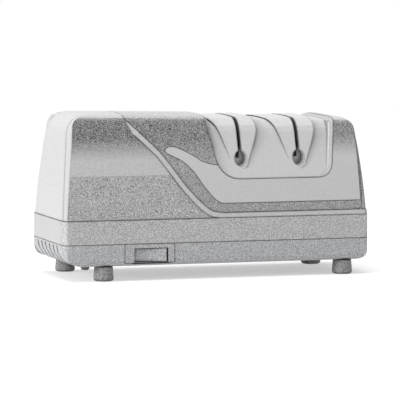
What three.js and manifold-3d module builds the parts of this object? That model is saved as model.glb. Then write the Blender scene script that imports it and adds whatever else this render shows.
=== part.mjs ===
// A two-stage electric knife sharpener, modelled from its casing inwards, in millimetres.
// X runs along the body towards the sharpening stages, -Y is the front and +Z is up.
// The origin lies on the surface that the feet stand on, under the middle of the body.

import * as THREE from 'three';
import { mergeVertices } from 'three/addons/utils/BufferGeometryUtils.js';
import Module from 'manifold-3d';

const wasm = await Module();
wasm.setup();

// Casing
const bodyLength = 220;
const bodyDepth = 88;
const cornerEndSetback = 9.7;
const cornerSideSetback = 2.1;
const cornerEndRadius = 6;
const cornerRadius = 1.8;
const wall = 2.5;
const partingGap = 0.3;
const fitGap = 0.3;
const overrun = 12;

// Base tray
const baseHeight = 15;
const toeRadiusLeft = 14;
const toeRadiusRight = 7;
const toeRadiusSide = 2;
const ventWidth = 2.6;
const ventPitch = 10;
const ventCount = 6;
const ventReach = 21;

// Middle band and its floor
const bandHeight = 16;
const floorRise = 1.7;
const floorThickness = 2.2;
const wellLeftFromRight = 122;
const wellRightInset = 32;
const wellHalfDepth = 24;

// Upper housing
const shellHeightLeft = 72.8;
const shellHeightRight = 67;
const shellStep = 0.6;
const sideLeanFoot = 3.5;
const sideLeanTop = 16;
const endLeanFoot = 3.4;
const endLeanTop = 7.6;
const shoulderLeft = 15;
const shoulderRight = 9.5;
const shoulderSide = 8;
const crownHeight = 1.2;
const postRadius = 4.2;
const postInset = 7;
const postHeight = 16;

// Slanted seam between the housing and the stage cover, and the bead along it
const seamTopFromRight = 173.4;
const seamTopDrop = 2.7;
const seamFootFromRight = 106;
const seamFootRise = 3.6;
const seamRightInset = 5.8;
const seamRightLean = 2.1;
const seamCornerRadius = 4;
const beadWidth = 3.6;
const beadRaise = 0.6;
const seamShares = [
  [0, 1], [0.01, 0.985], [0.086, 0.907], [0.2, 0.793], [0.303, 0.69], [0.374, 0.61],
  [0.499, 0.438], [0.601, 0.294], [0.739, 0.135], [0.826, 0.057], [0.89, 0.018], [1, 0],
];

// Light inlay in the stage cover
const trimThickness = 0.9;
const trimProud = 0.2;
const trimTipFromRight = 146.4;
const trimTipDrop = 24.5;
const trimFootFromRight = 107;
const trimFootRise = 9.9;
const trimEndFromRight = 108;
const trimEndRise = 9.3;
const trimSideMargin = 0.9;
const trimLowerShares = [
  [0.05, 0.06], [0.19, 0.13], [0.32, 0.21], [0.45, 0.34], [0.55, 0.47], [0.65, 0.635],
  [0.745, 0.765], [0.84, 0.885], [0.92, 0.96], [1, 1],
];
const trimUpperShares = [
  [0.06, -0.2], [0.175, -0.21], [0.32, -0.01], [0.48, 0.28], [0.6, 0.535], [0.72, 0.8], [1, 1],
];

// Knife guide
const guideLeftFromRight = 115.5;
const guideLeftLean = 13;
const guideRightInset = 22.8;
const guideRightLean = 6.6;
const guideFootRise = 3.7;
const guideLeftRadius = 17;
const guideRightRadius = 9.5;
const dishDepth = 2.8;
const dishFootDepth = 0.35;
const dishShoulder = 12;
const dishRunLeft = 0.9;
const dishRunRight = 3.9;
const rimShares = [[0, 0], [0.12, 0.62], [0.45, 0.87], [1, 1]];
const guideWall = 2.2;
const lipWidth = 3;
const lipThickness = 1.6;
const vStep = 0.5;
const vTopDrop = 0.7;
const vCrown = 0.4;
const vLeft = 21.5;
const vRight = 12.4;
const vFootHalf = 4.2;
const vFootDrop = 7.2;
const vTopRise = 28.5;
const vLeftShares = [
  [0.335, 0.2], [0.437, 0.36], [0.526, 0.505], [0.623, 0.665], [0.744, 0.825], [0.884, 0.925], [1, 1],
];
const vRightShares = [
  [0.42, 0.1], [0.545, 0.235], [0.72, 0.395], [0.87, 0.55], [1, 0.72], [0.985, 0.85], [0.93, 0.93], [0.87, 1],
];
const keyholeWidth = 8.6;
const keyholeHeight = 10.9;
const keyholeRise = 17.5;
const keyholeDepth = 15;
const keyholeWeb = 1.3;
const keyholeRim = 1.8;
const slotWidth = 2.4;
const slotTilt = 2;

// Sharpening stages on the drive shaft
const stageFromRight = 92.2;
const stagePitch = 41.9;
const shaftRise = 34.8;
const shaftRadius = 3;
const shaftLeftInset = 8;
const shaftRightInset = 18;
const shaftChamfer = 0.6;
const runningFit = 0.1;
const wheelRadius = 20;
const wheelThroat = 13;
const wheelWidth = 9.2;
const wheelEdge = 1;
const wheelBevel = 20;
const wheelTravel = 0.8;
const springRadius = 6.4;
const springWire = 0.9;
const springLength = 7.6;
const springTurns = 4;
const pocketDepth = 4;
const pocketMargin = 1;
const collarRadius = 8;
const collarWidth = 4.4;
const setScrewRadius = 1.3;

// Motor
const motorInset = 48;
const stackThickness = 22;
const stackHalfWidth = 27;
const stackTop = 22;
const stackTopRadius = 13;
const stackBottom = 28;
const coreHeight = 9;
const boreRadius = 12;
const windowHalf = 14.8;
const windowHeight = 8;
const rotorRadius = 11.5;
const rotorLength = 24;
const endRingRadius = 9.5;
const endRingLength = 2.5;
const bobbinWall = 1;
const bobbinFlange = 1.2;
const windingBuild = 4;
const boltSpread = 20;
const boltRadius = 1.9;
const boltHeadRadius = 3.6;
const boltHeadHeight = 2.4;
const bracketThickness = 3;
const bracketHalfHeight = 8;
const standOff = 6;
const standOffRadius = 4;
const bushRadius = 5;
const bushLength = 8;
const bushHousing = 2.4;
const fanInset = 13;
const fanRadius = 20;
const fanHubRadius = 6.5;
const fanHubLength = 7;
const fanBlades = 7;
const fanChord = 9;
const fanBladeThickness = 1.2;
const fanPitchAngle = 38;

// End bracket
const endBracketInset = 24;
const endBracketHalf = 24;
const endLegWidth = 9;
const endFootLength = 10;
const endFootThickness = 2.4;

// Feet
const footHeight = 10;
const footRadius = 7;
const footTopRadius = 6.4;
const footEdge = 1.4;
const footStemRadius = 2.7;
const footSideInset = 8;
const footFrontLeftInset = 30;
const footFrontRightInset = 18;
const footBackLeftInset = 22.5;
const footBackRightInset = 16.5;

// Switch in the base's front wall
const bezelInset = 43.2;
const bezelWidth = 35.1;
const bezelDrop = 13;
const rockerWidth = 23.8;
const rockerHeight = 9.4;
const rockerDrop = 7.6;
const rockerRim = 0.9;
const rockerDepth = 5.2;
const rockerSet = 0.7;
const rockerTilt = 6;
const pivotDepth = 4;
const pivotRadius = 2;
const trunnionRadius = 1;
const switchBodyDepth = 17;
const switchBodyWall = 0.9;
const terminalWidth = 4.8;
const terminalThickness = 0.8;
const terminalLength = 8;
const terminalSpread = 7;

// Fasteners, clean-out cover, magnets and the cord's gland
const baseScrewInset = 27;
const screwRadius = 1.5;
const screwHeadRadius = 3.1;
const screwHeadHeight = 2.3;
const screwPlay = 0.4;
const baseBossRadius = 3.7;
const baseBossDrop = 3.4;
const coverLeftFromRight = 107;
const coverRightInset = 35;
const coverHalfDepth = 15;
const coverThickness = 1.5;
const coverCorner = 3;
const coverLedge = 3.5;
const notchRadius = 5;
const magnetRadius = 6;
const magnetHeight = 3;
const magnetWall = 1.2;
const magnetRimHeight = 2;
const glandInset = 40;
const glandRise = 7.5;
const glandRadius = 4.8;
const glandBore = 3.5;
const glandFlange = 1.4;
const glandFlangeRadius = 6.2;
const glandProud = 0.45;

// Facets
const cornerSteps = 4;
const edgeSteps = 3;
const wallSteps = 5;
const shoulderSteps = 4;
const crownShares = [0.6];
const hiddenSteps = 2;
const outlineSteps = 24;
const weldLength = 0.03;
const sliverHeight = 0.004;
const roundFacets = 18;
const wheelFacets = 28;
const footFacets = 16;
const smallFacets = 10;

// Heights that follow from the stack of casing parts
const baseBottom = footHeight;
const baseTop = baseBottom + baseHeight;
const bandBottom = baseTop + partingGap;
const bandTop = bandBottom + bandHeight;
const shellBottom = bandTop + partingGap;
const floorBottom = bandBottom + floorRise;
const floorTop = floorBottom + floorThickness;
const frontY = -bodyDepth / 2;
const shaftZ = floorTop + shaftRise;
const keyholeZ = shaftZ + keyholeRise;
const guideFootZ = shaftZ + guideFootRise;
const seamFootZ = shellBottom + seamFootRise;
const trimFootZ = shellBottom + trimFootRise;
const trimEndZ = guideFootZ + trimEndRise;

// Places along the body, from its left end and its right end
const leftEnd = -bodyLength / 2;
const rightEnd = bodyLength / 2;
const motorX = leftEnd + motorInset;
const fanX = leftEnd + fanInset;
const shaftLeft = leftEnd + shaftLeftInset;
const bezelLeft = leftEnd + bezelInset;
const bezelRight = bezelLeft + bezelWidth;
const glandX = leftEnd + glandInset;
const shaftRight = rightEnd - shaftRightInset;
const stageX = rightEnd - stageFromRight;
const endBracketX = rightEnd - endBracketInset;
const wellLeft = rightEnd - wellLeftFromRight;
const wellRight = rightEnd - wellRightInset;
const coverLeft = rightEnd - coverLeftFromRight;
const coverRight = rightEnd - coverRightInset;
const guideLeftX = rightEnd - guideLeftFromRight;
const guideRightX = rightEnd - guideRightInset;
const seamTopX = rightEnd - seamTopFromRight;
const seamFootX = rightEnd - seamFootFromRight;
const seamRightX = rightEnd - seamRightInset;
const trimTipX = rightEnd - trimTipFromRight;
const trimFootX = rightEnd - trimFootFromRight;
const trimEndX = rightEnd - trimEndFromRight;

const rad = THREE.MathUtils.degToRad;

// Finishes
function finish(color, roughness, metalness = 0) {
  return new THREE.MeshStandardMaterial({ color, roughness, metalness });
}
const finishes = {
  lightShell: finish(0xd2d2d3, 0.45),
  darkCover: finish(0x868688, 0.75),
  accent: finish(0xc8c8ca, 0.4),
  guide: finish(0xc4c5c6, 0.45),
  band: finish(0xb2b2b4, 0.5),
  base: finish(0xa9a9ad, 0.55),
  rubber: finish(0x6c6c6c, 0.9),
  blackPlastic: finish(0x2a2a2c, 0.6),
  steel: finish(0xb8bbc0, 0.35, 1),
  lamination: finish(0x5c6066, 0.5, 0.8),
  copper: finish(0xb8703a, 0.4, 0.9),
  brass: finish(0xc9a24a, 0.4, 0.9),
  abrasiveCoarse: finish(0x8a8f96, 0.95, 0.2),
  abrasiveFine: finish(0xa7abb2, 0.9, 0.2),
  magnet: finish(0x3a3a3e, 0.7, 0.3),
};

// Turns a closed geometry into a solid, with its faces pointing out.
function solid(geometry) {
  const bare = new THREE.BufferGeometry();
  bare.setAttribute('position', geometry.getAttribute('position'));
  if (geometry.index) bare.setIndex(geometry.index);
  const merged = mergeVertices(bare, 1e-5);
  const place = merged.getAttribute('position').array;
  const corner = (i) => new THREE.Vector3().fromArray(place, i * 3);
  const source = merged.index.array;
  const kept = [];
  let volume = 0;
  for (let i = 0; i < source.length; i += 3) {
    const [a, b, c] = [source[i], source[i + 1], source[i + 2]];
    if (a === b || b === c || c === a) continue;
    kept.push(a, b, c);
    volume += corner(a).dot(corner(b).cross(corner(c)));
  }
  const flip = volume < 0;
  for (let i = 0; flip && i < kept.length; i += 3) [kept[i], kept[i + 1]] = [kept[i + 1], kept[i]];
  const mesh = new wasm.Mesh({
    numProp: 3,
    vertProperties: Float32Array.from(place),
    triVerts: Uint32Array.from(kept),
  });
  return new wasm.Manifold(mesh);
}

// Collapses the shortest edges and swaps the long side of each sliver, so that the cuts
// leave no needles behind.
function tidied(body) {
  const { numProp, vertProperties, triVerts } = body.getMesh();
  const points = Array.from({ length: vertProperties.length / numProp }, (_, i) =>
    new THREE.Vector3().fromArray(vertProperties, i * numProp));
  const home = points.map((_, i) => i);
  const find = (i) => (home[i] === i ? i : find(home[i]));
  for (let i = 0; i < triVerts.length; i += 3) {
    for (let k = 0; k < 3; k += 1) {
      const [a, b] = [find(triVerts[i + k]), find(triVerts[i + ((k + 1) % 3)])];
      if (a !== b && points[a].distanceTo(points[b]) < weldLength) home[Math.max(a, b)] = Math.min(a, b);
    }
  }
  const faces = new Map();
  for (let i = 0; i < triVerts.length; i += 3) {
    const face = [find(triVerts[i]), find(triVerts[i + 1]), find(triVerts[i + 2])];
    const key = [...face].sort((a, b) => a - b).join();
    if (new Set(face).size < 3) continue;
    if (faces.has(key)) faces.delete(key);
    else faces.set(key, face);
  }
  const kept = unslivered(points, [...faces.values()]);
  const mesh = new wasm.Mesh({
    numProp: 3,
    vertProperties: Float32Array.from(points.flatMap((point) => point.toArray())),
    triVerts: Uint32Array.from(kept.flat()),
  });
  return new wasm.Manifold(mesh);
}

// Swaps the shared edge of each needle-like face with its neighbour's.
function unslivered(points, faces) {
  const sides = new Map();
  const enter = (index) => {
    faces[index].forEach((a, k) => sides.set(`${a},${faces[index][(k + 1) % 3]}`, index));
  };
  faces.forEach((_, index) => enter(index));
  const edge = new THREE.Line3();
  const foot = new THREE.Vector3();
  for (let index = 0; index < faces.length; index += 1) {
    for (let k = 0; k < 3; k += 1) {
      const [a, b, c] = [faces[index][k], faces[index][(k + 1) % 3], faces[index][(k + 2) % 3]];
      edge.set(points[a], points[b]);
      const along = edge.closestPointToPointParameter(points[c], false);
      const height = edge.at(along, foot).distanceTo(points[c]);
      if (along <= 0 || along >= 1 || height > sliverHeight) continue;
      const other = sides.get(`${b},${a}`);
      const d = faces[other].find((corner) => corner !== a && corner !== b);
      if (sides.has(`${c},${d}`) || sides.has(`${d},${c}`)) continue;
      sides.delete(`${a},${b}`);
      sides.delete(`${b},${a}`);
      faces[index] = [a, d, c];
      faces[other] = [d, b, c];
      enter(index);
      enter(other);
      break;
    }
  }
  return faces;
}

const assembly = new THREE.Group();

// Adds a finished solid to the assembly as a named mesh.
function addPiece(name, body, material) {
  const data = tidied(body).getMesh();
  const geometry = new THREE.BufferGeometry();
  const { numProp, vertProperties, triVerts } = data;
  const place = new Float32Array((vertProperties.length / numProp) * 3);
  for (let i = 0; i < place.length / 3; i += 1) {
    place.set(vertProperties.subarray(i * numProp, i * numProp + 3), i * 3);
  }
  geometry.setAttribute('position', new THREE.BufferAttribute(place, 3));
  geometry.setIndex(new THREE.BufferAttribute(Uint32Array.from(triVerts), 1));
  geometry.computeVertexNormals();
  const mesh = new THREE.Mesh(geometry, material);
  mesh.name = name;
  assembly.add(mesh);
}

function box(x0, x1, y0, y1, z0, z1) {
  const geometry = new THREE.BoxGeometry(x1 - x0, y1 - y0, z1 - z0);
  geometry.translate((x0 + x1) / 2, (y0 + y1) / 2, (z0 + z1) / 2);
  return solid(geometry);
}

function flat(points) {
  return points.map(([x, y]) => new THREE.Vector2(x, y));
}

// Moves each point of an outline sideways, to the right of its direction of travel.
function shifted(points, distance, closed) {
  const count = points.length;
  return points.map((point, i) => {
    const before = closed ? points[(i - 1 + count) % count] : points[Math.max(i - 1, 0)];
    const after = closed ? points[(i + 1) % count] : points[Math.min(i + 1, count - 1)];
    const into = point.clone().sub(before).normalize();
    const out = after.clone().sub(point).normalize();
    if (into.lengthSq() === 0) into.copy(out);
    if (out.lengthSq() === 0) out.copy(into);
    const side = into.add(out).normalize();
    const spread = distance / Math.max(Math.abs(side.dot(out)), 0.5);
    return new THREE.Vector2(point.x + side.y * spread, point.y - side.x * spread);
  });
}

// Grows a closed outline evenly, whichever way round it runs.
function grown(points, distance) {
  const sign = THREE.ShapeUtils.isClockWise(points) ? -1 : 1;
  return shifted(points, distance * sign, true);
}

// Rounds the corners of a polygon: each corner is [x, y, radius].
function rounded(corners, steps) {
  const count = corners.length;
  return corners.flatMap(([x, y, radius], i) => {
    const here = new THREE.Vector2(x, y);
    if (!radius) return [here];
    const before = new THREE.Vector2(...corners[(i - 1 + count) % count]).sub(here).normalize();
    const after = new THREE.Vector2(...corners[(i + 1) % count]).sub(here).normalize();
    const half = Math.acos(THREE.MathUtils.clamp(before.dot(after), -1, 1)) / 2;
    const reach = radius / Math.tan(half);
    const centre = before.clone().add(after).normalize().multiplyScalar(radius / Math.sin(half)).add(here);
    const start = before.multiplyScalar(reach).add(here).sub(centre);
    const end = after.multiplyScalar(reach).add(here).sub(centre);
    const turn = Math.atan2(start.cross(end), start.dot(end));
    return Array.from({ length: steps + 1 }, (_, k) =>
      start.clone().rotateAround(new THREE.Vector2(), (turn * k) / steps).add(centre));
  });
}

// Extrudes an X-Z outline across the body, from y0 to y1.
function acrossBody(points, y0, y1) {
  const depth = y1 - y0;
  const geometry = new THREE.ExtrudeGeometry(new THREE.Shape(points), { depth, bevelEnabled: false });
  geometry.rotateX(Math.PI / 2);
  geometry.translate(0, y1, 0);
  return solid(geometry);
}

function throughBody(points) {
  return acrossBody(points, frontY - overrun, -frontY + overrun);
}

// Extrudes a Y-Z outline along the body, from x0 to x1.
function alongBody(points, x0, x1) {
  const depth = x1 - x0;
  const geometry = new THREE.ExtrudeGeometry(new THREE.Shape(points), { depth, bevelEnabled: false });
  const axes = [new THREE.Vector3(0, 1, 0), new THREE.Vector3(0, 0, 1), new THREE.Vector3(1, 0, 0)];
  geometry.applyMatrix4(new THREE.Matrix4().makeBasis(...axes));
  geometry.translate(x0, 0, 0);
  return solid(geometry);
}

// Extrudes an X-Y outline upwards, from z0 to z1.
function upwards(points, z0, z1) {
  const depth = z1 - z0;
  const geometry = new THREE.ExtrudeGeometry(new THREE.Shape(points), { depth, bevelEnabled: false });
  geometry.translate(0, 0, z0);
  return solid(geometry);
}

// Revolves a profile of [radius, height] points round a vertical axis.
function turned(profile, facets, x, y) {
  const geometry = new THREE.LatheGeometry(flat(profile), facets);
  geometry.rotateX(Math.PI / 2);
  geometry.translate(x, y, 0);
  return solid(geometry);
}

// Revolves a profile of [radius, x] points round the drive shaft's axis.
function onShaft(profile, facets) {
  const geometry = new THREE.LatheGeometry(flat(profile), facets);
  geometry.rotateZ(-Math.PI / 2);
  geometry.translate(0, 0, shaftZ);
  return solid(geometry);
}

function pin(radius, z0, z1, x, y, facets = smallFacets) {
  return turned([[0, z0], [radius, z0], [radius, z1], [0, z1]], facets, x, y);
}

// A rod along X at a place beside the shaft.
function rodAlong(radius, x0, x1, y, z, facets = smallFacets) {
  const rod = onShaft([[0, x0], [radius, x0], [radius, x1], [0, x1]], facets);
  return rod.translate([0, y, z - shaftZ]);
}

// A rod along Y.
function rodAcross(radius, y0, y1, x, z, facets = smallFacets) {
  const curve = new THREE.EllipseCurve(x, z, radius, radius, 0, 2 * Math.PI);
  return acrossBody(curve.getPoints(facets).slice(0, facets), y0, y1);
}

// One level of the casing in plan, grown or shrunk by an offset: an oblong that reaches out to
// the left, to the right and half its depth to the front and back. Near each corner the end
// turns in a little and then meets the side in a soft edge.
function planRing(left, right, half, offset, steps, height) {
  const bend = Math.atan(cornerSideSetback / cornerEndSetback);
  const endSlack = Math.tan(bend / 2);
  const sideSlack = Math.tan((Math.PI / 2 - bend) / 2);
  const endSetback = Math.min(cornerEndSetback + offset * (1 - endSlack), half / 2);
  const sideSetback = Math.max(cornerSideSetback + offset * (1 - sideSlack), cornerSideSetback / 8);
  const endRadius = Math.max(cornerEndRadius + offset, cornerEndRadius / 8);
  const radius = Math.max(cornerRadius + offset, cornerRadius / 8);
  const quarter = (reach) => {
    const points = [0, bend].map((angle) => [
      reach - endRadius + endRadius * Math.cos(angle),
      half - endSetback - endRadius * endSlack + endRadius * Math.sin(angle),
      Math.cos(angle),
    ]);
    for (let i = 0; i <= steps; i += 1) {
      const angle = bend + ((Math.PI / 2 - bend) * i) / steps;
      points.push([
        reach - sideSetback - radius * sideSlack + radius * Math.cos(angle),
        half - radius + radius * Math.sin(angle),
        Math.cos(angle),
      ]);
    }
    return points;
  };
  const place = (points, sideX, sideY) => points.map(([x, y, nx]) =>
    new THREE.Vector3(x * sideX, y * sideY, height(x * sideX, nx * sideX)));
  return [
    ...place(quarter(right), 1, 1),
    ...place(quarter(left).reverse(), -1, 1),
    ...place(quarter(left), -1, -1),
    ...place(quarter(right).reverse(), 1, -1),
  ];
}

// Covers an outline that is its own mirror image with strips from one side to the other.
function striped(ring) {
  const faces = [];
  for (let i = 0; i < ring.length / 2 - 1; i += 1) {
    const [a, b] = [ring.length - 1 - i, ring.length - 2 - i];
    faces.push([i, i + 1, b], [i, b, a]);
  }
  return faces;
}

function triangulated(ring) {
  return THREE.ShapeUtils.triangulateShape(ring.map((point) => new THREE.Vector2(point.x, point.y)), []);
}

// Joins rings of equal counts into a closed solid, from the lowest ring to the highest.
function lofted(rings, cover = striped) {
  const count = rings[0].length;
  const index = [];
  const last = (rings.length - 1) * count;
  for (let level = 0; level < rings.length - 1; level += 1) {
    for (let i = 0; i < count; i += 1) {
      const a = level * count + i;
      const b = level * count + ((i + 1) % count);
      index.push(a, b, b + count, a, b + count, a + count);
    }
  }
  cover(rings[0]).forEach(([a, b, c]) => index.push(c, b, a));
  cover(rings.at(-1)).forEach(([a, b, c]) => index.push(last + a, last + b, last + c));
  const geometry = new THREE.BufferGeometry().setFromPoints(rings.flat());
  geometry.setIndex(index);
  return solid(geometry);
}

// The top line of the upper housing, which falls gently towards the stages.
function topLine(x) {
  const share = (x + bodyLength / 2) / bodyLength;
  return shellBottom + THREE.MathUtils.lerp(shellHeightLeft, shellHeightRight, share);
}

// How far a wall has leaned in at a height over its foot: it leans more and more up to its top.
function leanedIn(height, span, footLean, topLean) {
  const low = Math.tan(rad(footLean));
  const high = Math.tan(rad(topLean));
  return height * (low + ((high - low) * height) / (span * 2));
}

// The height at which the housing's front and back walls meet their shoulders, over their foot.
function sideSpan(x) {
  return topLine(x) - shellBottom - crownHeight - shoulderSide * (1 - Math.sin(rad(sideLeanTop)));
}

// Half the upper housing's depth at a height.
function sideReach(z) {
  return bodyDepth / 2 - shellStep - leanedIn(z - shellBottom, sideSpan(0), sideLeanFoot, sideLeanTop);
}

// The upper housing's skin as a full solid, grown or shrunk by an offset. Its walls bow a
// little, each side rolls over with a radius of its own, and the crowned top slopes.
function housingForm(offset, floor) {
  const side = (reach, footLean, topLean, shoulder, span) => {
    const leanIn = (height) => leanedIn(height, span, footLean, topLean);
    const angle = rad(topLean);
    const foot = Math.tan(rad(footLean));
    const radius = shoulder + offset;
    const centre = reach - shellStep - leanIn(span) - shoulder * Math.cos(angle);
    const turn = (share) => angle + (Math.PI / 2 - angle) * share;
    const bend = (share) => Math.atan(foot + (Math.tan(angle) - foot) * share);
    return {
      leanIn,
      centre,
      foot: reach - shellStep + offset / Math.cos(rad(footLean)) - (floor - shellBottom) * foot,
      reach: (share) => centre + radius * Math.cos(turn(share)),
      drop: (share) => radius * (1 - Math.sin(turn(share))),
      wallReach: (share) => reach - shellStep - leanIn(span * share) + offset * Math.cos(bend(share)),
      wallRise: (share, rise) => rise * share + offset * Math.sin(bend(share)),
    };
  };
  const endSlack = 1 - Math.sin(rad(endLeanTop));
  const endSpan = (x, shoulder) => topLine(x) - shellBottom - crownHeight - shoulder * endSlack;
  const leftSpan = endSpan(leftEnd, shoulderLeft);
  const rightSpan = endSpan(rightEnd, shoulderRight);
  const front = side(bodyDepth / 2, sideLeanFoot, sideLeanTop, shoulderSide, sideSpan(0));
  const left = side(bodyLength / 2, endLeanFoot, endLeanTop, shoulderLeft, leftSpan);
  const right = side(bodyLength / 2, endLeanFoot, endLeanTop, shoulderRight, rightSpan);
  const steps = offset < 0 ? hiddenSteps : edgeSteps;
  const spread = (ring, share) => {
    for (const point of ring) {
      const more = front.leanIn(sideSpan(0) * share) - front.leanIn(sideSpan(point.x) * share);
      point.y += Math.sign(point.y) * more;
    }
    return ring;
  };
  const rings = [planRing(left.foot, right.foot, front.foot, offset, steps, () => floor)];
  const walls = offset < -dishDepth ? hiddenSteps : wallSteps;
  for (let i = 1; i < walls; i += 1) {
    const share = i / walls;
    const height = (x, nx) => {
      const end = nx > 0 ? right.wallRise(share, rightSpan) : left.wallRise(share, leftSpan);
      return shellBottom + THREE.MathUtils.lerp(front.wallRise(share, sideSpan(x)), end, nx * nx);
    };
    const [toLeft, toRight, half] = [left, right, front].map((edge) => edge.wallReach(share));
    rings.push(spread(planRing(toLeft, toRight, half, offset, steps, height), share));
  }
  const ring = (share, inset, height) => {
    const [toLeft, toRight, half] = [left, right, front].map((edge) => edge.reach(share) - inset);
    return spread(planRing(toLeft, toRight, half, offset, steps, height), 1);
  };
  const levels = offset < -dishDepth ? hiddenSteps : shoulderSteps;
  for (let i = 0; i <= levels; i += 1) {
    const share = i / levels;
    rings.push(ring(share, 0, (x, nx) => {
      const end = nx > 0 ? right.drop(share) : left.drop(share);
      const drop = THREE.MathUtils.lerp(front.drop(share), end, nx * nx);
      return topLine(x) + offset - crownHeight - drop;
    }));
  }
  for (const share of crownShares) {
    rings.push(ring(1, front.centre * share, (x) => topLine(x) + offset - crownHeight * (1 - share) ** 2));
  }
  return lofted(rings);
}

// The base tray's skin as a full solid: upright walls over a toe that rolls under.
function baseForm(offset, top) {
  const turnUp = (toe, share) => {
    const radius = toe + offset;
    const angle = (Math.PI / 2) * share;
    return { inset: radius * (1 - Math.sin(angle)), rise: radius * (1 - Math.cos(angle)) };
  };
  const rings = [];
  const steps = offset < 0 ? hiddenSteps : edgeSteps;
  const levels = offset < 0 ? hiddenSteps : shoulderSteps;
  for (let i = 0; i <= levels; i += 1) {
    const share = i / levels;
    const left = turnUp(toeRadiusLeft, share);
    const right = turnUp(toeRadiusRight, share);
    const side = turnUp(toeRadiusSide + wall, share);
    const reach = bodyLength / 2 + offset;
    const half = bodyDepth / 2 + offset;
    const height = (x, nx) => {
      const end = nx > 0 ? right.rise : left.rise;
      return baseBottom - offset + THREE.MathUtils.lerp(side.rise, end, nx * nx);
    };
    rings.push(planRing(reach - left.inset, reach - right.inset, half - side.inset, offset, steps, height));
  }
  const end = bodyLength / 2 + offset;
  rings.push(planRing(end, end, bodyDepth / 2 + offset, offset, steps, () => top));
  return lofted(rings);
}

function bandForm(offset, z0, z1) {
  const end = bodyLength / 2 + offset;
  const steps = offset < 0 ? hiddenSteps : edgeSteps;
  const ring = (z) => planRing(end, end, bodyDepth / 2 + offset, offset, steps, () => z);
  return lofted([ring(z0), ring(z1)]);
}

// Outlines on the front face, in X and Z

function seamLine() {
  const knots = seamShares.map(([along, up]) => new THREE.Vector2(
    THREE.MathUtils.lerp(seamTopX, seamFootX, along),
    THREE.MathUtils.lerp(seamFootZ, seamTopZ, up),
  ));
  return new THREE.SplineCurve(knots).getPoints(knots.length * 2);
}

const skyZ = shellBottom + Math.max(shellHeightLeft, shellHeightRight) + overrun;
const seamTopZ = topLine(seamTopX) - seamTopDrop;
const trimTipZ = topLine(trimTipX) - trimTipDrop;

// The window that the stage cover fills: the slanted seam, the foot line and the right seam.
function windowOutline() {
  const line = seamLine();
  const rise = skyZ - seamFootZ;
  const right = [seamRightX - rise * Math.tan(rad(seamRightLean)), skyZ];
  const foot = rounded([
    [seamFootX, seamFootZ, 0],
    [seamRightX, seamFootZ, seamCornerRadius],
    [...right, 0],
    [seamTopX, skyZ, 0],
  ], cornerSteps).slice(1);
  return [...line, ...foot];
}

// The raised bead follows the seam at its lower side and runs on as a rail round the right end.
function beadOutline() {
  const line = seamLine().filter((point) => point.y < shellBottom + shellHeightRight - shoulderSide / 2);
  const inner = shifted(line, -beadWidth, false);
  const outer = shifted(line, fitGap + beadWidth, false);
  const far = bodyLength / 2 + overrun;
  return [
    ...outer,
    new THREE.Vector2(far, shellBottom - overrun),
    new THREE.Vector2(far, seamFootZ - fitGap),
    new THREE.Vector2(seamFootX, seamFootZ - fitGap),
    ...inner.reverse(),
  ];
}

function guideOutline() {
  const shoulderZ = topLine(guideLeftX) - shoulderSide;
  const rightTop = topLine(guideRightX);
  return rounded([
    [guideLeftX, skyZ, 0],
    [guideLeftX, shoulderZ, 0],
    [guideLeftX + (shoulderZ - guideFootZ) * Math.tan(rad(guideLeftLean)), guideFootZ, guideLeftRadius],
    [guideRightX - (rightTop - guideFootZ) * Math.tan(rad(guideRightLean)), guideFootZ, guideRightRadius],
    [guideRightX, rightTop, 0],
    [guideRightX, skyZ, 0],
  ], shoulderSteps + 1);
}

// The inlay: a tail on the left that widens under the guide and rises on its right.
function trimOutline() {
  const span = trimFootX - trimTipX;
  const fall = trimTipZ - trimFootZ;
  const lower = trimLowerShares.map(([along, down]) =>
    new THREE.Vector2(trimTipX + span * along, trimTipZ - fall * down));
  const tailSpan = trimEndX - trimTipX;
  const tailFall = trimTipZ - trimEndZ;
  const upper = trimUpperShares.map(([along, down]) =>
    new THREE.Vector2(trimTipX + tailSpan * along, trimTipZ - tailFall * down));
  const tip = new THREE.Vector2(trimTipX, trimTipZ);
  const tail = new THREE.SplineCurve([...upper.reverse(), tip, ...lower]).getPoints(outlineSteps);
  const inset = (z) => seamRightX - trimSideMargin - (z - seamFootZ) * Math.tan(rad(seamRightLean));
  const guideMiddle = (guideLeftX + guideRightX) / 2;
  return [
    ...tail,
    new THREE.Vector2(inset(trimFootZ), trimFootZ),
    new THREE.Vector2(inset(skyZ), skyZ),
    new THREE.Vector2(guideMiddle, skyZ),
    new THREE.Vector2(guideMiddle, trimEndZ),
  ];
}

// A raised V: wide over the shoulder, it narrows to a rounded foot round the keyhole.
function vOutline(x) {
  const foot = keyholeZ - vFootDrop;
  const rise = vTopRise + vFootDrop;
  const left = vLeftShares.map(([out, up]) => new THREE.Vector2(x - vLeft * out, foot + rise * up)).reverse();
  const right = vRightShares.map(([out, up]) => new THREE.Vector2(x + vRight * out, foot + rise * up));
  const low = [
    new THREE.Vector2(x - vFootHalf, foot + vFootHalf / 3),
    new THREE.Vector2(x, foot),
    new THREE.Vector2(x + vFootHalf, foot + vFootHalf / 3),
  ];
  const curve = new THREE.SplineCurve([...left, ...low, ...right]).getPoints(outlineSteps);
  return [...curve, new THREE.Vector2(curve.at(-1).x, skyZ), new THREE.Vector2(curve[0].x, skyZ)];
}

const stages = [
  { name: 'coarse', x: stageX, grit: finishes.abrasiveCoarse },
  { name: 'fine', x: stageX + stagePitch, grit: finishes.abrasiveFine },
];

// Upper housing

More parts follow.
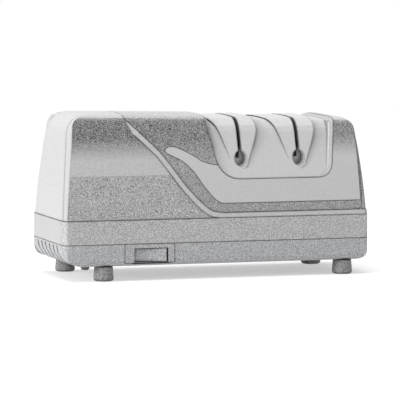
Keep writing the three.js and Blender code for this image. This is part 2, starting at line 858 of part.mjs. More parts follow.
function makeHousing() {
  const outer = housingForm(0, shellBottom);
  const window = throughBody(grown(windowOutline(), fitGap));
  const coverRoom = housingForm(overrun, shellBottom)
    .subtract(housingForm(-wall - fitGap, shellBottom - overrun))
    .intersect(window);
  const bead = housingForm(beadRaise, shellBottom)
    .subtract(housingForm(-wall / 2, shellBottom - overrun))
    .intersect(throughBody(beadOutline()));
  let shell = outer.subtract(housingForm(-wall, shellBottom - overrun)).add(bead);
  for (const [x, y] of postPlaces()) {
    const post = pin(postRadius, shellBottom, shellBottom + postHeight, x, y, roundFacets);
    const bore = pin(screwRadius + screwPlay, shellBottom - overrun, shellBottom + postHeight - wall, x, y);
    shell = shell.add(post.intersect(outer)).subtract(bore);
  }
  addPiece('upper_housing', shell.subtract(coverRoom), finishes.lightShell);
}

function postPlaces() {
  const x = bodyLength / 2 - postInset;
  const y = bodyDepth / 2 - postInset;
  return [[-x, -y], [x, -y], [-x, y], [x, y]];
}

// Stage cover, with the bed that the inlay lies in and the opening for the guide

function makeStageCover() {
  const trim = trimOutline();
  const bed = housingForm(overrun, shellBottom)
    .subtract(housingForm(-trimThickness - fitGap, shellBottom - overrun))
    .intersect(throughBody(grown(trim, fitGap)));
  const cover = housingForm(0, shellBottom)
    .subtract(housingForm(-wall, shellBottom - overrun))
    .intersect(throughBody(windowOutline()))
    .subtract(bed)
    .subtract(throughBody(grown(guideOutline(), fitGap)));
  addPiece('stage_cover', cover, finishes.darkCover);
  const inlay = housingForm(trimProud, shellBottom)
    .subtract(housingForm(-trimThickness, shellBottom - overrun))
    .intersect(throughBody(trim))
    .subtract(throughBody(grown(guideOutline(), fitGap)));
  addPiece('accent_trim', inlay, finishes.accent);
}

// Knife guide: a dished saddle over the top of the stage cover

// The space inside the dish's ends at one face, which runs on below the dish's floor. The left
// end is steep, and the right one rolls over and down.
function faceRimCutter() {
  const outline = guideOutline();
  const level = (depth, runShare) => outline.map((point) => {
    const share = (point.x - guideLeftX) / (guideRightX - guideLeftX);
    const run = (dishRunLeft * (1 - share) - dishRunRight * share) * runShare;
    return new THREE.Vector3(point.x + run, point.y, sideReach(Math.min(point.y, topLine(0))) - depth);
  });
  const levels = rimShares.map(([down, runShare]) => level(dishDepth * down, runShare)).reverse();
  const rings = [level(dishDepth + dishShoulder / 2, 1), ...levels, level(-overrun, 0)];
  return lofted(rings, triangulated).rotate([90, 0, 0]);
}

function topRimCutter() {
  const low = dishDepth + dishShoulder / 2;
  const share = low / dishDepth;
  const run = [
    [guideLeftX + dishRunLeft * share, -low], [guideRightX - dishRunRight * share, -low], [guideRightX, 0],
    [guideRightX, overrun], [guideLeftX, overrun], [guideLeftX, 0],
  ];
  return throughBody(run.map(([x, up]) => new THREE.Vector2(x, topLine(x) - crownHeight / 2 + up)));
}

// A section across the body at one place along it: its sides lie one depth under the housing's
// surface at the guide's foot and another at the shoulder, and its top lies a drop under the
// housing's top line.
function saddleRing(x, footDepth, depth, drop) {
  const ring = [];
  const top = topLine(x) - drop - vCrown;
  const low = shellBottom;
  const shoulderZ = top - shoulderSide * (1 - Math.sin(rad(sideLeanTop)));
  const nearY = sideReach(guideFootZ) - footDepth;
  const lean = (nearY - sideReach(shoulderZ) + depth) / (shoulderZ - guideFootZ);
  const angle = Math.atan(lean);
  const reach = (z) => nearY - (z - guideFootZ) * lean;
  const centre = reach(top - dishShoulder * (1 - Math.sin(angle))) - dishShoulder * Math.cos(angle);
  ring.push([reach(low), low]);
  for (let i = 0; i <= shoulderSteps; i += 1) {
    const turn = angle + ((Math.PI / 2 - angle) * i) / shoulderSteps;
    ring.push([centre + dishShoulder * Math.cos(turn), top - dishShoulder * (1 - Math.sin(turn))]);
  }
  ring.push([centre / 3, top + vCrown]);
  const half = ring.map(([y, z]) => new THREE.Vector3(x, y, z));
  return [...half, ...half.map((point) => new THREE.Vector3(x, -point.y, point.z)).reverse()];
}

// A raised V: flush with the dish along its left edge, it ramps up to the housing's surface
// at its right edge.
function vForm(x) {
  const [low, high] = [x - vLeft - wall, x + vRight + wall];
  return lofted([saddleRing(low, 0, dishDepth - vStep, dishDepth - vStep), saddleRing(high, 0, 0, vTopDrop)]);
}

// The dish as a full solid over the guide's length, or the space at a depth under its floor.
function dishForm(under) {
  const ring = (x) => saddleRing(x, dishFootDepth + under, dishDepth + under, dishDepth + under);
  return lofted([ring(guideLeftX - overrun), ring(guideRightX + overrun)]);
}

function insideGuide(under) {
  return housingForm(-dishDepth - under, shellBottom - overrun).intersect(dishForm(under));
}

function makeGuide() {
  const outline = throughBody(guideOutline());
  const skin = housingForm(0, shellBottom);
  const cavity = insideGuide(guideWall);
  const front = faceRimCutter();
  const rim = skin.intersect(outline)
    .subtract(front).subtract(front.mirror([0, 1, 0])).subtract(topRimCutter());
  const lip = housingForm(-wall - fitGap, shellBottom - overrun)
    .subtract(housingForm(-wall - fitGap - lipThickness, shellBottom - overrun))
    .intersect(throughBody(flat([
      [guideLeftX + guideLeftRadius * 1.5, guideFootZ - lipWidth],
      [guideRightX - guideRightRadius * 2, guideFootZ - lipWidth],
      [guideRightX - guideRightRadius * 2, guideFootZ + wall / 2],
      [guideLeftX + guideLeftRadius * 1.5, guideFootZ + wall / 2],
    ])));
  let guide = dishForm(0).intersect(skin).intersect(outline).add(rim).subtract(cavity).add(lip);
  const room = throughBody(grown(guideOutline(), -fitGap));
  const buried = insideGuide(guideWall / 2);
  for (const { x } of stages) {
    const wedge = vForm(x).intersect(skin).subtract(buried).intersect(throughBody(vOutline(x)));
    const floorY = frontY + keyholeDepth;
    const web = acrossBody(keyholeOutline(x, keyholeRim), floorY - overrun, floorY + keyholeWeb)
      .intersect(buried);
    guide = guide.add(wedge.intersect(room)).add(web).add(web.mirror([0, 1, 0]));
  }
  for (const { x } of stages) {
    const keyhole = acrossBody(keyholeOutline(x, 0), frontY - overrun, frontY + keyholeDepth);
    guide = guide.subtract(knifeSlot(x)).subtract(keyhole).subtract(keyhole.mirror([0, 1, 0]));
  }
  addPiece('knife_guide', guide, finishes.guide);
}

function knifeSlot(x) {
  const tilt = rad(slotTilt);
  const half = slotWidth / 2;
  const rise = skyZ - keyholeZ;
  const lean = rise * Math.tan(tilt);
  return throughBody(flat([
    [x - half, keyholeZ], [x + half, keyholeZ], [x + half - lean, skyZ], [x - half - lean, skyZ],
  ]));
}

function keyholeOutline(x, margin) {
  const [across, up] = [keyholeWidth / 2 + margin, keyholeHeight / 2 + margin];
  const curve = new THREE.EllipseCurve(x, keyholeZ, across, up, 0, 2 * Math.PI);
  return curve.getPoints(roundFacets).slice(0, roundFacets);
}

// Middle band with the floor that carries the motor and the end bracket

function makeBand() {
  const ring = bandForm(0, bandBottom, bandTop)
    .subtract(bandForm(-wall, bandBottom - overrun, bandTop + overrun));
  const well = upwards(rounded([
    [wellLeft, -wellHalfDepth, coverCorner], [wellRight, -wellHalfDepth, coverCorner],
    [wellRight, wellHalfDepth, coverCorner], [wellLeft, wellHalfDepth, coverCorner],
  ], cornerSteps), floorBottom - overrun, floorTop + overrun);
  let band = ring.add(bandForm(-wall / 2, floorBottom, floorTop).subtract(well));
  const railTop = shaftZ - stackBottom - fitGap;
  for (const side of [-1, 1]) {
    const near = windowHalf + bobbinFlange;
    const [y0, y1] = [near * side, stackHalfWidth * side].sort((a, b) => a - b);
    const half = stackThickness / 2;
    band = band.add(box(motorX - half, motorX + half, y0, y1, floorTop - floorThickness / 2, railTop));
  }
  for (const [x, y] of postPlaces()) {
    const boss = pin(postRadius, floorBottom, bandTop, x, y, roundFacets);
    band = band.add(boss.intersect(bandForm(0, bandBottom, bandTop)));
    band = band.subtract(pin(screwRadius + screwPlay, floorBottom - overrun, bandTop + overrun, x, y));
  }
  for (const x of [leftEnd + baseScrewInset, rightEnd - baseScrewInset]) {
    band = band.subtract(pin(screwRadius + screwPlay, floorBottom - overrun, floorTop + overrun, x, 0));
  }
  for (const { y } of endBracketFeet()) {
    const bore = pin(screwRadius + screwPlay, floorBottom - overrun, floorTop + overrun, endFootMiddle(), y);
    band = band.subtract(bore);
  }
  addPiece('middle_band', band, finishes.band);
}

// Base tray

function makeBase() {
  let base = baseForm(0, baseTop).subtract(baseForm(-wall, baseTop + overrun));
  const innerZ = baseBottom + wall;
  for (const [x, y] of footPlaces()) {
    base = base.subtract(pin(footStemRadius + fitGap, baseBottom - overrun, innerZ + overrun, x, y));
  }
  for (let i = 0; i < ventCount; i += 1) {
    const y = (i - (ventCount - 1) / 2) * ventPitch;
    const [y0, y1] = [y - ventWidth / 2, y + ventWidth / 2];
    base = base.subtract(box(leftEnd - overrun, leftEnd + ventReach, y0, y1, baseBottom - overrun,
      baseTop - wall / 2));
  }
  for (const x of [leftEnd + baseScrewInset, rightEnd - baseScrewInset]) {
    const boss = turned([
      [0, baseBottom - baseBossDrop], [baseBossRadius - fitGap, baseBottom - baseBossDrop],
      [baseBossRadius, baseBottom - baseBossDrop + fitGap], [baseBossRadius, floorBottom - fitGap],
      [0, floorBottom - fitGap],
    ], roundFacets, x, 0);
    const bore = pin(screwRadius + screwPlay, baseBottom - overrun, floorBottom + overrun, x, 0);
    base = base.add(boss).subtract(bore);
  }
  base = base.subtract(switchRoom()).subtract(coverOpening());
  const seat = -frontY + glandProud - glandFlange - fitGap;
  const z = baseBottom + glandRise;
  const bore = rodAcross(glandRadius + fitGap, -frontY - wall - overrun, -frontY + overrun, glandX, z,
    roundFacets);
  const recess = rodAcross(glandFlangeRadius + fitGap, seat, -frontY + overrun, glandX, z, roundFacets);
  addPiece('base', base.subtract(bore).subtract(recess), finishes.base);
}

function footPlaces() {
  const y = frontY + footSideInset;
  return [
    [leftEnd + footFrontLeftInset, y], [rightEnd - footFrontRightInset, y],
    [leftEnd + footBackLeftInset, -y], [rightEnd - footBackRightInset, -y],
  ];
}

// The notch for the bezel, with room behind it for the switch's body.
function switchRoom() {
  const notch = box(bezelLeft - fitGap, bezelRight + fitGap, frontY - overrun, frontY + wall + overrun / 2,
    baseTop - bezelDrop, baseTop + overrun);
  const half = rockerWidth / 2 + switchBodyWall + fitGap;
  const low = rockerZ - rockerHeight / 2 - switchBodyWall - fitGap;
  return notch.add(box(rockerX - half, rockerX + half, frontY, frontY + wall + switchBodyDepth + overrun, low,
    baseTop + overrun));
}

function coverOutline(inset) {
  return rounded([
    [coverLeft + inset, inset - coverHalfDepth, coverCorner],
    [coverRight - inset, inset - coverHalfDepth, coverCorner],
    [coverRight - inset, coverHalfDepth - inset, coverCorner],
    [coverLeft + inset, coverHalfDepth - inset, coverCorner],
  ], cornerSteps);
}

function coverOpening() {
  const rebate = upwards(coverOutline(0), baseBottom - overrun, baseBottom + coverThickness + fitGap);
  const throat = upwards(coverOutline(coverLedge), baseBottom - overrun, baseBottom + wall + overrun);
  return rebate.add(throat);
}

function makeCleanout() {
  const plate = upwards(coverOutline(fitGap), baseBottom, baseBottom + coverThickness);
  const top = baseBottom + coverThickness;
  let cover = plate.subtract(pin(notchRadius, baseBottom - overrun, top + overrun,
    coverRight + notchRadius / 2, 0, roundFacets));
  for (const { name, x } of stages) {
    const rim = pin(magnetRadius + fitGap + magnetWall, top - coverThickness / 2, top + magnetRimHeight, x, 0,
      roundFacets);
    const seat = pin(magnetRadius + fitGap, top, top + overrun, x, 0, roundFacets);
    cover = cover.add(rim).subtract(seat);
    const disc = pin(magnetRadius, top + fitGap, top + fitGap + magnetHeight, x, 0, roundFacets);
    addPiece(`filings_magnet_${name}`, disc, finishes.magnet);
  }
  addPiece('cleanout_cover', cover, finishes.base);
}

function makeFeet() {
  const names = ['front_left', 'front_right', 'back_left', 'back_right'];
  const top = baseBottom - fitGap;
  const innerZ = baseBottom + wall + fitGap;
  footPlaces().forEach(([x, y], i) => {
    const foot = turned([
      [0, 0], [footRadius - footEdge, 0], [footRadius - footEdge / 3, footEdge / 3], [footRadius, footEdge],
      [footTopRadius, top], [footStemRadius, top], [footStemRadius, innerZ],
      [footStemRadius + footEdge, innerZ + footEdge / 2], [footStemRadius, innerZ + footEdge * 2],
      [0, innerZ + footEdge * 2],
    ], footFacets, x, y);
    addPiece(`foot_${names[i]}`, foot, finishes.rubber);
  });
}

// Switch

const rockerX = (bezelLeft + bezelRight) / 2 + rockerRim;
const rockerZ = baseTop - rockerDrop;
const pivotY = frontY + rockerSet + pivotDepth;

function makeSwitch() {
  const [left, right] = [rockerX - rockerWidth / 2, rockerX + rockerWidth / 2];
  const [low, top] = [rockerZ - rockerHeight / 2, rockerZ + rockerHeight / 2];
  const opening = box(left, right, frontY - overrun, frontY + overrun * 2, low, top);
  const bezel = box(bezelLeft, bezelRight, frontY, frontY + wall, baseTop - bezelDrop + fitGap, baseTop)
    .subtract(opening);
  addPiece('switch_bezel', bezel, finishes.base);

  const backY = frontY + wall + fitGap;
  const reach = rockerWidth / 2 + switchBodyWall;
  const high = rockerHeight / 2 + switchBodyWall;
  const cavity = box(left, right, backY - overrun, pivotY + pivotRadius + rockerDepth / 2, low, top);
  const block = box(rockerX - reach, rockerX + reach, backY, backY + switchBodyDepth, rockerZ - high,
    rockerZ + high);
  const bore = pin(trunnionRadius + runningFit, rockerZ - high - overrun, rockerZ + high + overrun, rockerX,
    pivotY);
  addPiece('switch_body', block.subtract(cavity).subtract(bore), finishes.blackPlastic);
  [-1, 1].forEach((side, i) => {
    const x = rockerX + side * terminalSpread;
    const y = backY + switchBodyDepth + fitGap;
    const blade = box(x - terminalWidth / 2, x + terminalWidth / 2, y, y + terminalLength,
      rockerZ - terminalThickness / 2, rockerZ + terminalThickness / 2);
    const eye = pin(terminalWidth / 5, rockerZ - overrun, rockerZ + overrun, x, y + terminalLength * 0.7);
    addPiece(`switch_terminal_${i + 1}`, blade.subtract(eye), finishes.brass);
  });

  // The rocker's face is a shallow V, so one half is flush and the other stands out.
  const half = rockerWidth / 2 - fitGap * 2;
  const tilt = rad(rockerTilt);
  const face = half * Math.tan(tilt);
  const profile = flat([
    [-half, -pivotDepth], [0, -pivotDepth + face / 2], [half, -pivotDepth],
    [half, rockerDepth - pivotDepth], [pivotRadius, rockerDepth - pivotDepth],
    [pivotRadius, pivotRadius], [-pivotRadius, pivotRadius],
    [-pivotRadius, rockerDepth - pivotDepth], [-half, rockerDepth - pivotDepth],
  ]);
  const lift = rockerHeight / 2 - fitGap;
  const rocker = upwards(profile, rockerZ - lift, rockerZ + lift)
    .add(pin(trunnionRadius, rockerZ - high, rockerZ + high, 0, 0))
    .rotate([0, 0, -rockerTilt])
    .translate([rockerX, pivotY, 0]);
  addPiece('switch_rocker', rocker, finishes.base);
}

// Drive shaft with all that turns on it

const shaftFit = shaftRadius + runningFit;

function makeShaft() {
  addPiece('drive_shaft', onShaft([
    [0, shaftLeft], [shaftRadius - shaftChamfer, shaftLeft], [shaftRadius, shaftLeft + shaftChamfer],
    [shaftRadius, shaftRight - shaftChamfer], [shaftRadius - shaftChamfer, shaftRight], [0, shaftRight],
  ], roundFacets), finishes.steel);
}

function makeStages() {
  const flare = (wheelRadius - wheelThroat) * Math.tan(rad(wheelBevel));
  for (const { name, x, grit } of stages) {
    const face = (side, share) => x + side * (fitGap + flare * share);
    const profile = (side) => [
      [shaftFit, face(side, 0)], [wheelThroat, face(side, 0)], [wheelRadius, face(side, 1)],
      [wheelRadius, x + side * (wheelWidth - wheelEdge)], [wheelRadius - wheelEdge, x + side * wheelWidth],
      [shaftFit, x + side * wheelWidth], [shaftFit, face(side, 0)],
    ];
    addPiece(`${name}_wheel_fixed`, onShaft(profile(-1), wheelFacets), grit);
    const backX = x + wheelWidth;
    const outer = springRadius + springWire / 2 + pocketMargin;
    const inner = springRadius - springWire / 2 - pocketMargin;
    const pocket = onShaft([
      [inner, backX - pocketDepth], [outer, backX - pocketDepth], [outer, backX + overrun],
      [inner, backX + overrun], [inner, backX - pocketDepth],
    ], roundFacets);
    addPiece(`${name}_wheel_sliding`, onShaft(profile(1), wheelFacets).subtract(pocket), grit);

    const springStart = backX - pocketDepth + wheelTravel + fitGap + springWire / 2;
    const collarX = springStart + springLength + springWire / 2 + fitGap;
    addPiece(`${name}_spring`, coil(springStart, springLength), finishes.steel);
    const collar = onShaft([
      [shaftFit, collarX], [collarRadius, collarX], [collarRadius, collarX + collarWidth],
      [shaftFit, collarX + collarWidth], [shaftFit, collarX],
    ], roundFacets);
    const middle = collarX + collarWidth / 2;
    const screwHole = pin(setScrewRadius, shaftZ, shaftZ + collarRadius + overrun, middle, 0);
    addPiece(`${name}_collar`, collar.subtract(screwHole), finishes.steel);
  }
}

// A helical compression spring round the shaft, as one unbroken wire.
class Helix extends THREE.Curve {
  constructor(start, length) {
    super();
    this.start = start;
    this.length = length;
  }

  getPoint(share, target = new THREE.Vector3()) {
    const angle = 2 * Math.PI * springTurns * share;
    return target.set(
      this.start + this.length * share,
      springRadius * Math.cos(angle),
      shaftZ + springRadius * Math.sin(angle),
    );
  }
}

function coil(start, length) {
  const section = new THREE.EllipseCurve(0, 0, springWire / 2, springWire / 2, 0, 2 * Math.PI);
  const shape = new THREE.Shape(section.getPoints(5).slice(0, 5));
  const extrudePath = new Helix(start, length);
  const steps = springTurns * 8;
  return solid(new THREE.ExtrudeGeometry(shape, { steps, extrudePath, bevelEnabled: false }));
}

function makeFan() {
  const hubStart = fanX - fanHubLength / 2;
  let fan = onShaft([
    [shaftFit, hubStart], [fanHubRadius, hubStart], [fanHubRadius, hubStart + fanHubLength],
    [shaftFit, hubStart + fanHubLength], [shaftFit, hubStart],
  ], roundFacets);
  for (let i = 0; i < fanBlades; i += 1) {
    const length = fanRadius - fanHubRadius + wall / 2;
    const blade = new THREE.BoxGeometry(fanChord, fanBladeThickness, length);
    blade.rotateZ(rad(fanPitchAngle));
    blade.translate(fanX, 0, fanHubRadius - wall / 2 + length / 2);
    blade.rotateX((2 * Math.PI * i) / fanBlades);
    blade.translate(0, 0, shaftZ);
    fan = fan.add(solid(blade));
  }
  const trim = onShaft([[0, hubStart], [fanRadius, hubStart], [fanRadius, hubStart + fanHubLength],
    [0, hubStart + fanHubLength]], roundFacets);
  addPiece('cooling_fan', fan.intersect(trim), finishes.blackPlastic);
}

// Motor

function stackOutline() {
  const bottom = shaftZ - stackBottom;
  return rounded([
    [-stackHalfWidth, bottom, wall], [stackHalfWidth, bottom, wall],
    [stackHalfWidth, shaftZ + stackTop, stackTopRadius], [-stackHalfWidth, shaftZ + stackTop, stackTopRadius],
  ], cornerSteps);
}

function makeMotor() {
  const x0 = motorX - stackThickness / 2;
  const x1 = motorX + stackThickness / 2;
  const coreBottom = shaftZ - stackBottom;
  const coreTop = coreBottom + coreHeight;
  const bore = onShaft([[0, x0 - overrun], [boreRadius, x0 - overrun], [boreRadius, x1 + overrun],
    [0, x1 + overrun]], wheelFacets);
  const window = box(x0 - overrun, x1 + overrun, -windowHalf, windowHalf, coreTop, coreTop + windowHeight);
  let stator = alongBody(stackOutline(), x0, x1).subtract(bore).subtract(window);
  const boltPlaces = [[-boltSpread, 'front'], [boltSpread, 'back']];
  for (const [y] of boltPlaces) {
    stator = stator.subtract(rodAlong(boltRadius + fitGap, x0 - overrun, x1 + overrun, y, shaftZ));
  }
  addPiece('motor_stator', stator, finishes.lamination);

  // Bobbin and winding round the core leg
  const tube = (growth, steps) => {
    const half = stackThickness / 2 + fitGap + growth;
    const [low, high] = [coreBottom - fitGap - growth, coreTop + fitGap + growth];
    const corners = [[-half, low], [half, low], [half, high], [-half, high]];
    return rounded(corners.map(([x, z]) => [motorX + x, z, steps ? growth : 0]), steps);
  };
  const reach = windowHalf - fitGap;
  const core = acrossBody(tube(0, 0), -reach - overrun, reach + overrun);
  const sleeve = acrossBody(tube(bobbinWall, 0), -reach, reach);
  const cheeks = acrossBody(tube(bobbinWall + windingBuild, 0), -reach, reach)
    .subtract(box(x0 - overrun, x1 + overrun, -reach + bobbinFlange, reach - bobbinFlange,
      coreBottom - overrun, coreTop + overrun));
  addPiece('bobbin', sleeve.add(cheeks).subtract(core), finishes.blackPlastic);
  const coilReach = reach - bobbinFlange - fitGap;
  const winding = acrossBody(tube(bobbinWall + windingBuild - fitGap, 3), -coilReach, coilReach)
    .subtract(acrossBody(tube(bobbinWall + fitGap, 0), -coilReach - overrun, coilReach + overrun));
  addPiece('stator_coil', winding, finishes.copper);

  const r0 = motorX - rotorLength / 2;
  const r1 = motorX + rotorLength / 2;
  addPiece('rotor_core', onShaft([
    [shaftFit, r0 - endRingLength], [endRingRadius, r0 - endRingLength], [endRingRadius, r0],
    [rotorRadius, r0], [rotorRadius, r1], [endRingRadius, r1], [endRingRadius, r1 + endRingLength],
    [shaftFit, r1 + endRingLength], [shaftFit, r0 - endRingLength],
  ], wheelFacets), finishes.lamination);

  // Each bracket stands off the stack on its two bolts and holds a bush in the middle.
  for (const [name, side] of [['left', -1], ['right', 1]]) {
    const inner = motorX + side * (stackThickness / 2 + standOff);
    const outer = inner + side * bracketThickness;
    const [b0, b1] = [inner, outer].sort((a, b) => a - b);
    const bar = alongBody(rounded([
      [-boltSpread - standOffRadius, shaftZ - bracketHalfHeight, bracketHalfHeight / 2],
      [boltSpread + standOffRadius, shaftZ - bracketHalfHeight, bracketHalfHeight / 2],
      [boltSpread + standOffRadius, shaftZ + bracketHalfHeight, bracketHalfHeight / 2],
      [-boltSpread - standOffRadius, shaftZ + bracketHalfHeight, bracketHalfHeight / 2],
    ], hiddenSteps), b0, b1);
    const bushMiddle = (inner + outer) / 2;
    const [m0, m1] = [bushMiddle - bushLength / 2, bushMiddle + bushLength / 2];
    let bracket = bar.add(rodAlong(bushRadius + bushHousing, m0, m1, 0, shaftZ, roundFacets));
    for (const [y] of boltPlaces) {
      const [s0, s1] = [motorX + side * (stackThickness / 2 + fitGap), outer].sort((a, b) => a - b);
      const bore = rodAlong(boltRadius + fitGap, x0 - overrun * 2, x1 + overrun * 2, y, shaftZ);
      bracket = bracket.add(rodAlong(standOffRadius, s0, s1, y, shaftZ)).subtract(bore);
    }
    const seat = rodAlong(bushRadius + fitGap, b0 - overrun, b1 + overrun, 0, shaftZ, roundFacets);
    addPiece(`motor_bracket_${name}`, bracket.subtract(seat), finishes.steel);
    addPiece(`bush_${name}`, bush(bushMiddle), finishes.brass);
  }

  const headX = motorX - stackThickness / 2 - standOff - bracketThickness - fitGap;
  const tipX = motorX + stackThickness / 2 + standOff + bracketThickness + boltHeadHeight;
  for (const [y, name] of boltPlaces) {
    const bolt = onShaft([
      [0, headX - boltHeadHeight], [boltHeadRadius * 0.8, headX - boltHeadHeight],
      [boltHeadRadius, headX - boltHeadHeight / 2], [boltHeadRadius, headX], [boltRadius, headX],
      [boltRadius, tipX], [0, tipX],
    ], smallFacets);
    addPiece(`motor_bolt_${name}`, bolt.translate([0, y, 0]), finishes.steel);
  }
}

function bush(x) {
  const half = bushLength / 2;
  return onShaft([
    [shaftFit, x - half], [bushRadius, x - half], [bushRadius, x + half], [shaftFit, x + half],
    [shaftFit, x - half],
  ], roundFacets);
}

// End bracket: an A frame on the band's floor, open in the middle

function endFootMiddle() {
  return endBracketX + bracketThickness / 2 + endFootLength / 2;
}

function endBracketFeet() {
  const y = endBracketHalf - endLegWidth / 2;
  return [{ name: 'front', y: -y }, { name: 'back', y }];
}

function makeEndBracket() {
  const low = floorTop + fitGap;
  const head = bushRadius + bushHousing;
  const x0 = endBracketX - bracketThickness / 2;
  const x1 = endBracketX + bracketThickness / 2;
  const plate = alongBody(flat([
    [-endBracketHalf, low], [endBracketHalf, low], [head, shaftZ + head / 2], [-head, shaftZ + head / 2],
  ]), x0, x1);
  const arch = alongBody(flat([
    [endLegWidth - endBracketHalf, low - overrun], [endBracketHalf - endLegWidth, low - overrun],
    [endBracketHalf - endLegWidth, low], [head / 2, shaftZ - head - wall], [-head / 2, shaftZ - head - wall],
    [endLegWidth - endBracketHalf, low],
  ]), x0 - overrun, x1 + overrun);
  const [m0, m1] = [endBracketX - bushLength / 2, endBracketX + bushLength / 2];
  let bracket = plate.subtract(arch).add(rodAlong(head, m0, m1, 0, shaftZ, roundFacets));
  for (const { name, y } of endBracketFeet()) {
    const half = endLegWidth / 2;
    const foot = box(x0, x1 + endFootLength, y - half, y + half, low, low + endFootThickness);
    const x = endFootMiddle();
    bracket = bracket.add(foot);
    bracket = bracket.subtract(pin(screwRadius + screwPlay, low - overrun, low + overrun, x, y));
    const seatZ = low + endFootThickness + fitGap;
    const screw = turned([
      [0, floorBottom], [screwRadius, floorBottom], [screwRadius, seatZ], [screwHeadRadius, seatZ],
      [screwHeadRadius * 0.75, seatZ + screwHeadHeight], [0, seatZ + screwHeadHeight],
    ], smallFacets, x, y);
    addPiece(`bracket_screw_${name}`, screw, finishes.steel);
  }
  const seat = rodAlong(bushRadius + fitGap, x0 - overrun, x1 + overrun, 0, shaftZ, roundFacets);
  addPiece('end_bracket', bracket.subtract(seat), finishes.blackPlastic);
  addPiece('bush_end', bush(endBracketX), finishes.brass);
}

// Screws that hold the casing together, driven from below

function screwUp(headZ, tipZ, x, y) {
  return turned([
    [0, headZ - screwHeadHeight], [screwHeadRadius * 0.7, headZ - screwHeadHeight],
    [screwHeadRadius, headZ - screwHeadHeight / 2], [screwHeadRadius, headZ], [screwRadius, headZ],
    [screwRadius, tipZ - screwRadius], [screwRadius / 2, tipZ], [0, tipZ],
  ], smallFacets, x, y);
}

function makeScrews() {
  const baseHead = baseBottom - baseBossDrop - fitGap;
  for (const [name, x] of [['left', leftEnd + baseScrewInset], ['right', rightEnd - baseScrewInset]]) {
    addPiece(`base_screw_${name}`, screwUp(baseHead, floorTop + wall, x, 0), finishes.steel);
  }
  const names = ['front_left', 'front_right', 'back_left', 'back_right'];
  postPlaces().forEach(([x, y], i) => {
    const screw = screwUp(floorBottom - fitGap, shellBottom + postHeight - wall * 2, x, y);
    addPiece(`housing_screw_${names[i]}`, screw, finishes.steel);
  });
}

// Gland in the back wall of the base, where the cord enters

function makeGland() {
  const z = baseBottom + glandRise;
  const outside = -frontY + glandProud;
  const inner = -frontY - wall - glandFlange;
  const flange = rodAcross(glandFlangeRadius, outside - glandFlange, outside, glandX, z, roundFacets);
  const neck = rodAcross(glandRadius, inner, outside - glandFlange / 2, glandX, z, roundFacets);
  const bore = rodAcross(glandBore, inner - overrun, outside + overrun, glandX, z, roundFacets);
  addPiece('cord_gland', flange.add(neck).subtract(bore), finishes.rubber);
}

makeHousing();
makeStageCover();
makeGuide();
makeBand();
makeBase();
makeCleanout();
makeFeet();
makeSwitch();
makeShaft();
makeStages();
makeFan();
makeMotor();
makeEndBracket();
makeScrews();
makeGland();

export default assembly;
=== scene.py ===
"""Studio view of a two-stage electric knife sharpener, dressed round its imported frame.

Sizes are in metres, in the frame's own axes: +X runs along the body towards the sharpening
stages, -Y is the front and +Z is up.
"""

import logging
import math
from dataclasses import dataclass
from enum import Enum
from typing import Sequence

import bmesh
import bpy
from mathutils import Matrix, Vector


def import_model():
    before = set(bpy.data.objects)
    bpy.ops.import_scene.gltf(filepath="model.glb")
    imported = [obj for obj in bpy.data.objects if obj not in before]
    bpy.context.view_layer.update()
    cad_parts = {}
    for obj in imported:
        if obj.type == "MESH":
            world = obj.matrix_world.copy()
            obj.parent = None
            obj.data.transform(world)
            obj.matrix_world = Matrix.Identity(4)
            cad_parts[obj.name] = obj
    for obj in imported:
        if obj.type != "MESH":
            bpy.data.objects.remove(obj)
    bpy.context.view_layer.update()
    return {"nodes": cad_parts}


log = logging.getLogger("knife_sharpener")

PHOTO_WIDTH = 400
SENSOR_WIDTH = 36.0

# Useful spans of the factors that the finishes read
NOISE_SPAN = (0.3, 0.7)
OPEN_SPAN = (0.45, 0.95)
LEE_SPAN = (0.4, 0.8)
EDGE_TURN_SPAN = (0.86, 0.995)

# Noise that the finishes share: slow mottles per metre, and octaves
SLOW_GRAIN = 28.0
GRAIN_OCTAVES = 3.0
WALL_SHADE_OCTAVES = 2.0

# Rays spent on the painted shade along rounded edges and in crevices
EDGE_SAMPLES = 4
SHELTER_SAMPLES = 8

# Sockets of the Mix node, whose kinds share their names
MIX_FACTOR = 0
MIX_FLOATS = (2, 3)
MIX_COLOURS = (6, 7)
MIX_FLOAT_RESULT = 0
MIX_COLOUR_RESULT = 2

# Scale at which the wave's bands lie a metre apart
BAND_SCALE = 0.314

# Corners closer than this are one, in metres
MERGE_DISTANCE = 0.000002

WHITE = (1.0, 1.0, 1.0, 1.0)

Colour = tuple[float, float, float]
Span = tuple[float, float]
Socket = bpy.types.NodeSocket
Operand = Socket | float | None


class Axis(Enum):
    """The object's axes."""

    ALONG = "X"
    ACROSS = "Y"
    UP = "Z"


class Finish(Enum):
    """The finishes that the pieces have."""

    LIGHT_SHELL = "light_shell"
    DARK_COVER = "dark_cover"
    ACCENT = "accent"
    GUIDE = "guide"
    BAND = "band"
    BASE = "base"
    RUBBER = "rubber"
    BLACK_PLASTIC = "black_plastic"
    STEEL = "steel"
    BLACKENED_STEEL = "blackened_steel"
    LAMINATION = "lamination"
    COPPER = "copper"
    BRASS = "brass"
    ABRASIVE_COARSE = "abrasive_coarse"
    ABRASIVE_FINE = "abrasive_fine"
    MAGNET = "magnet"


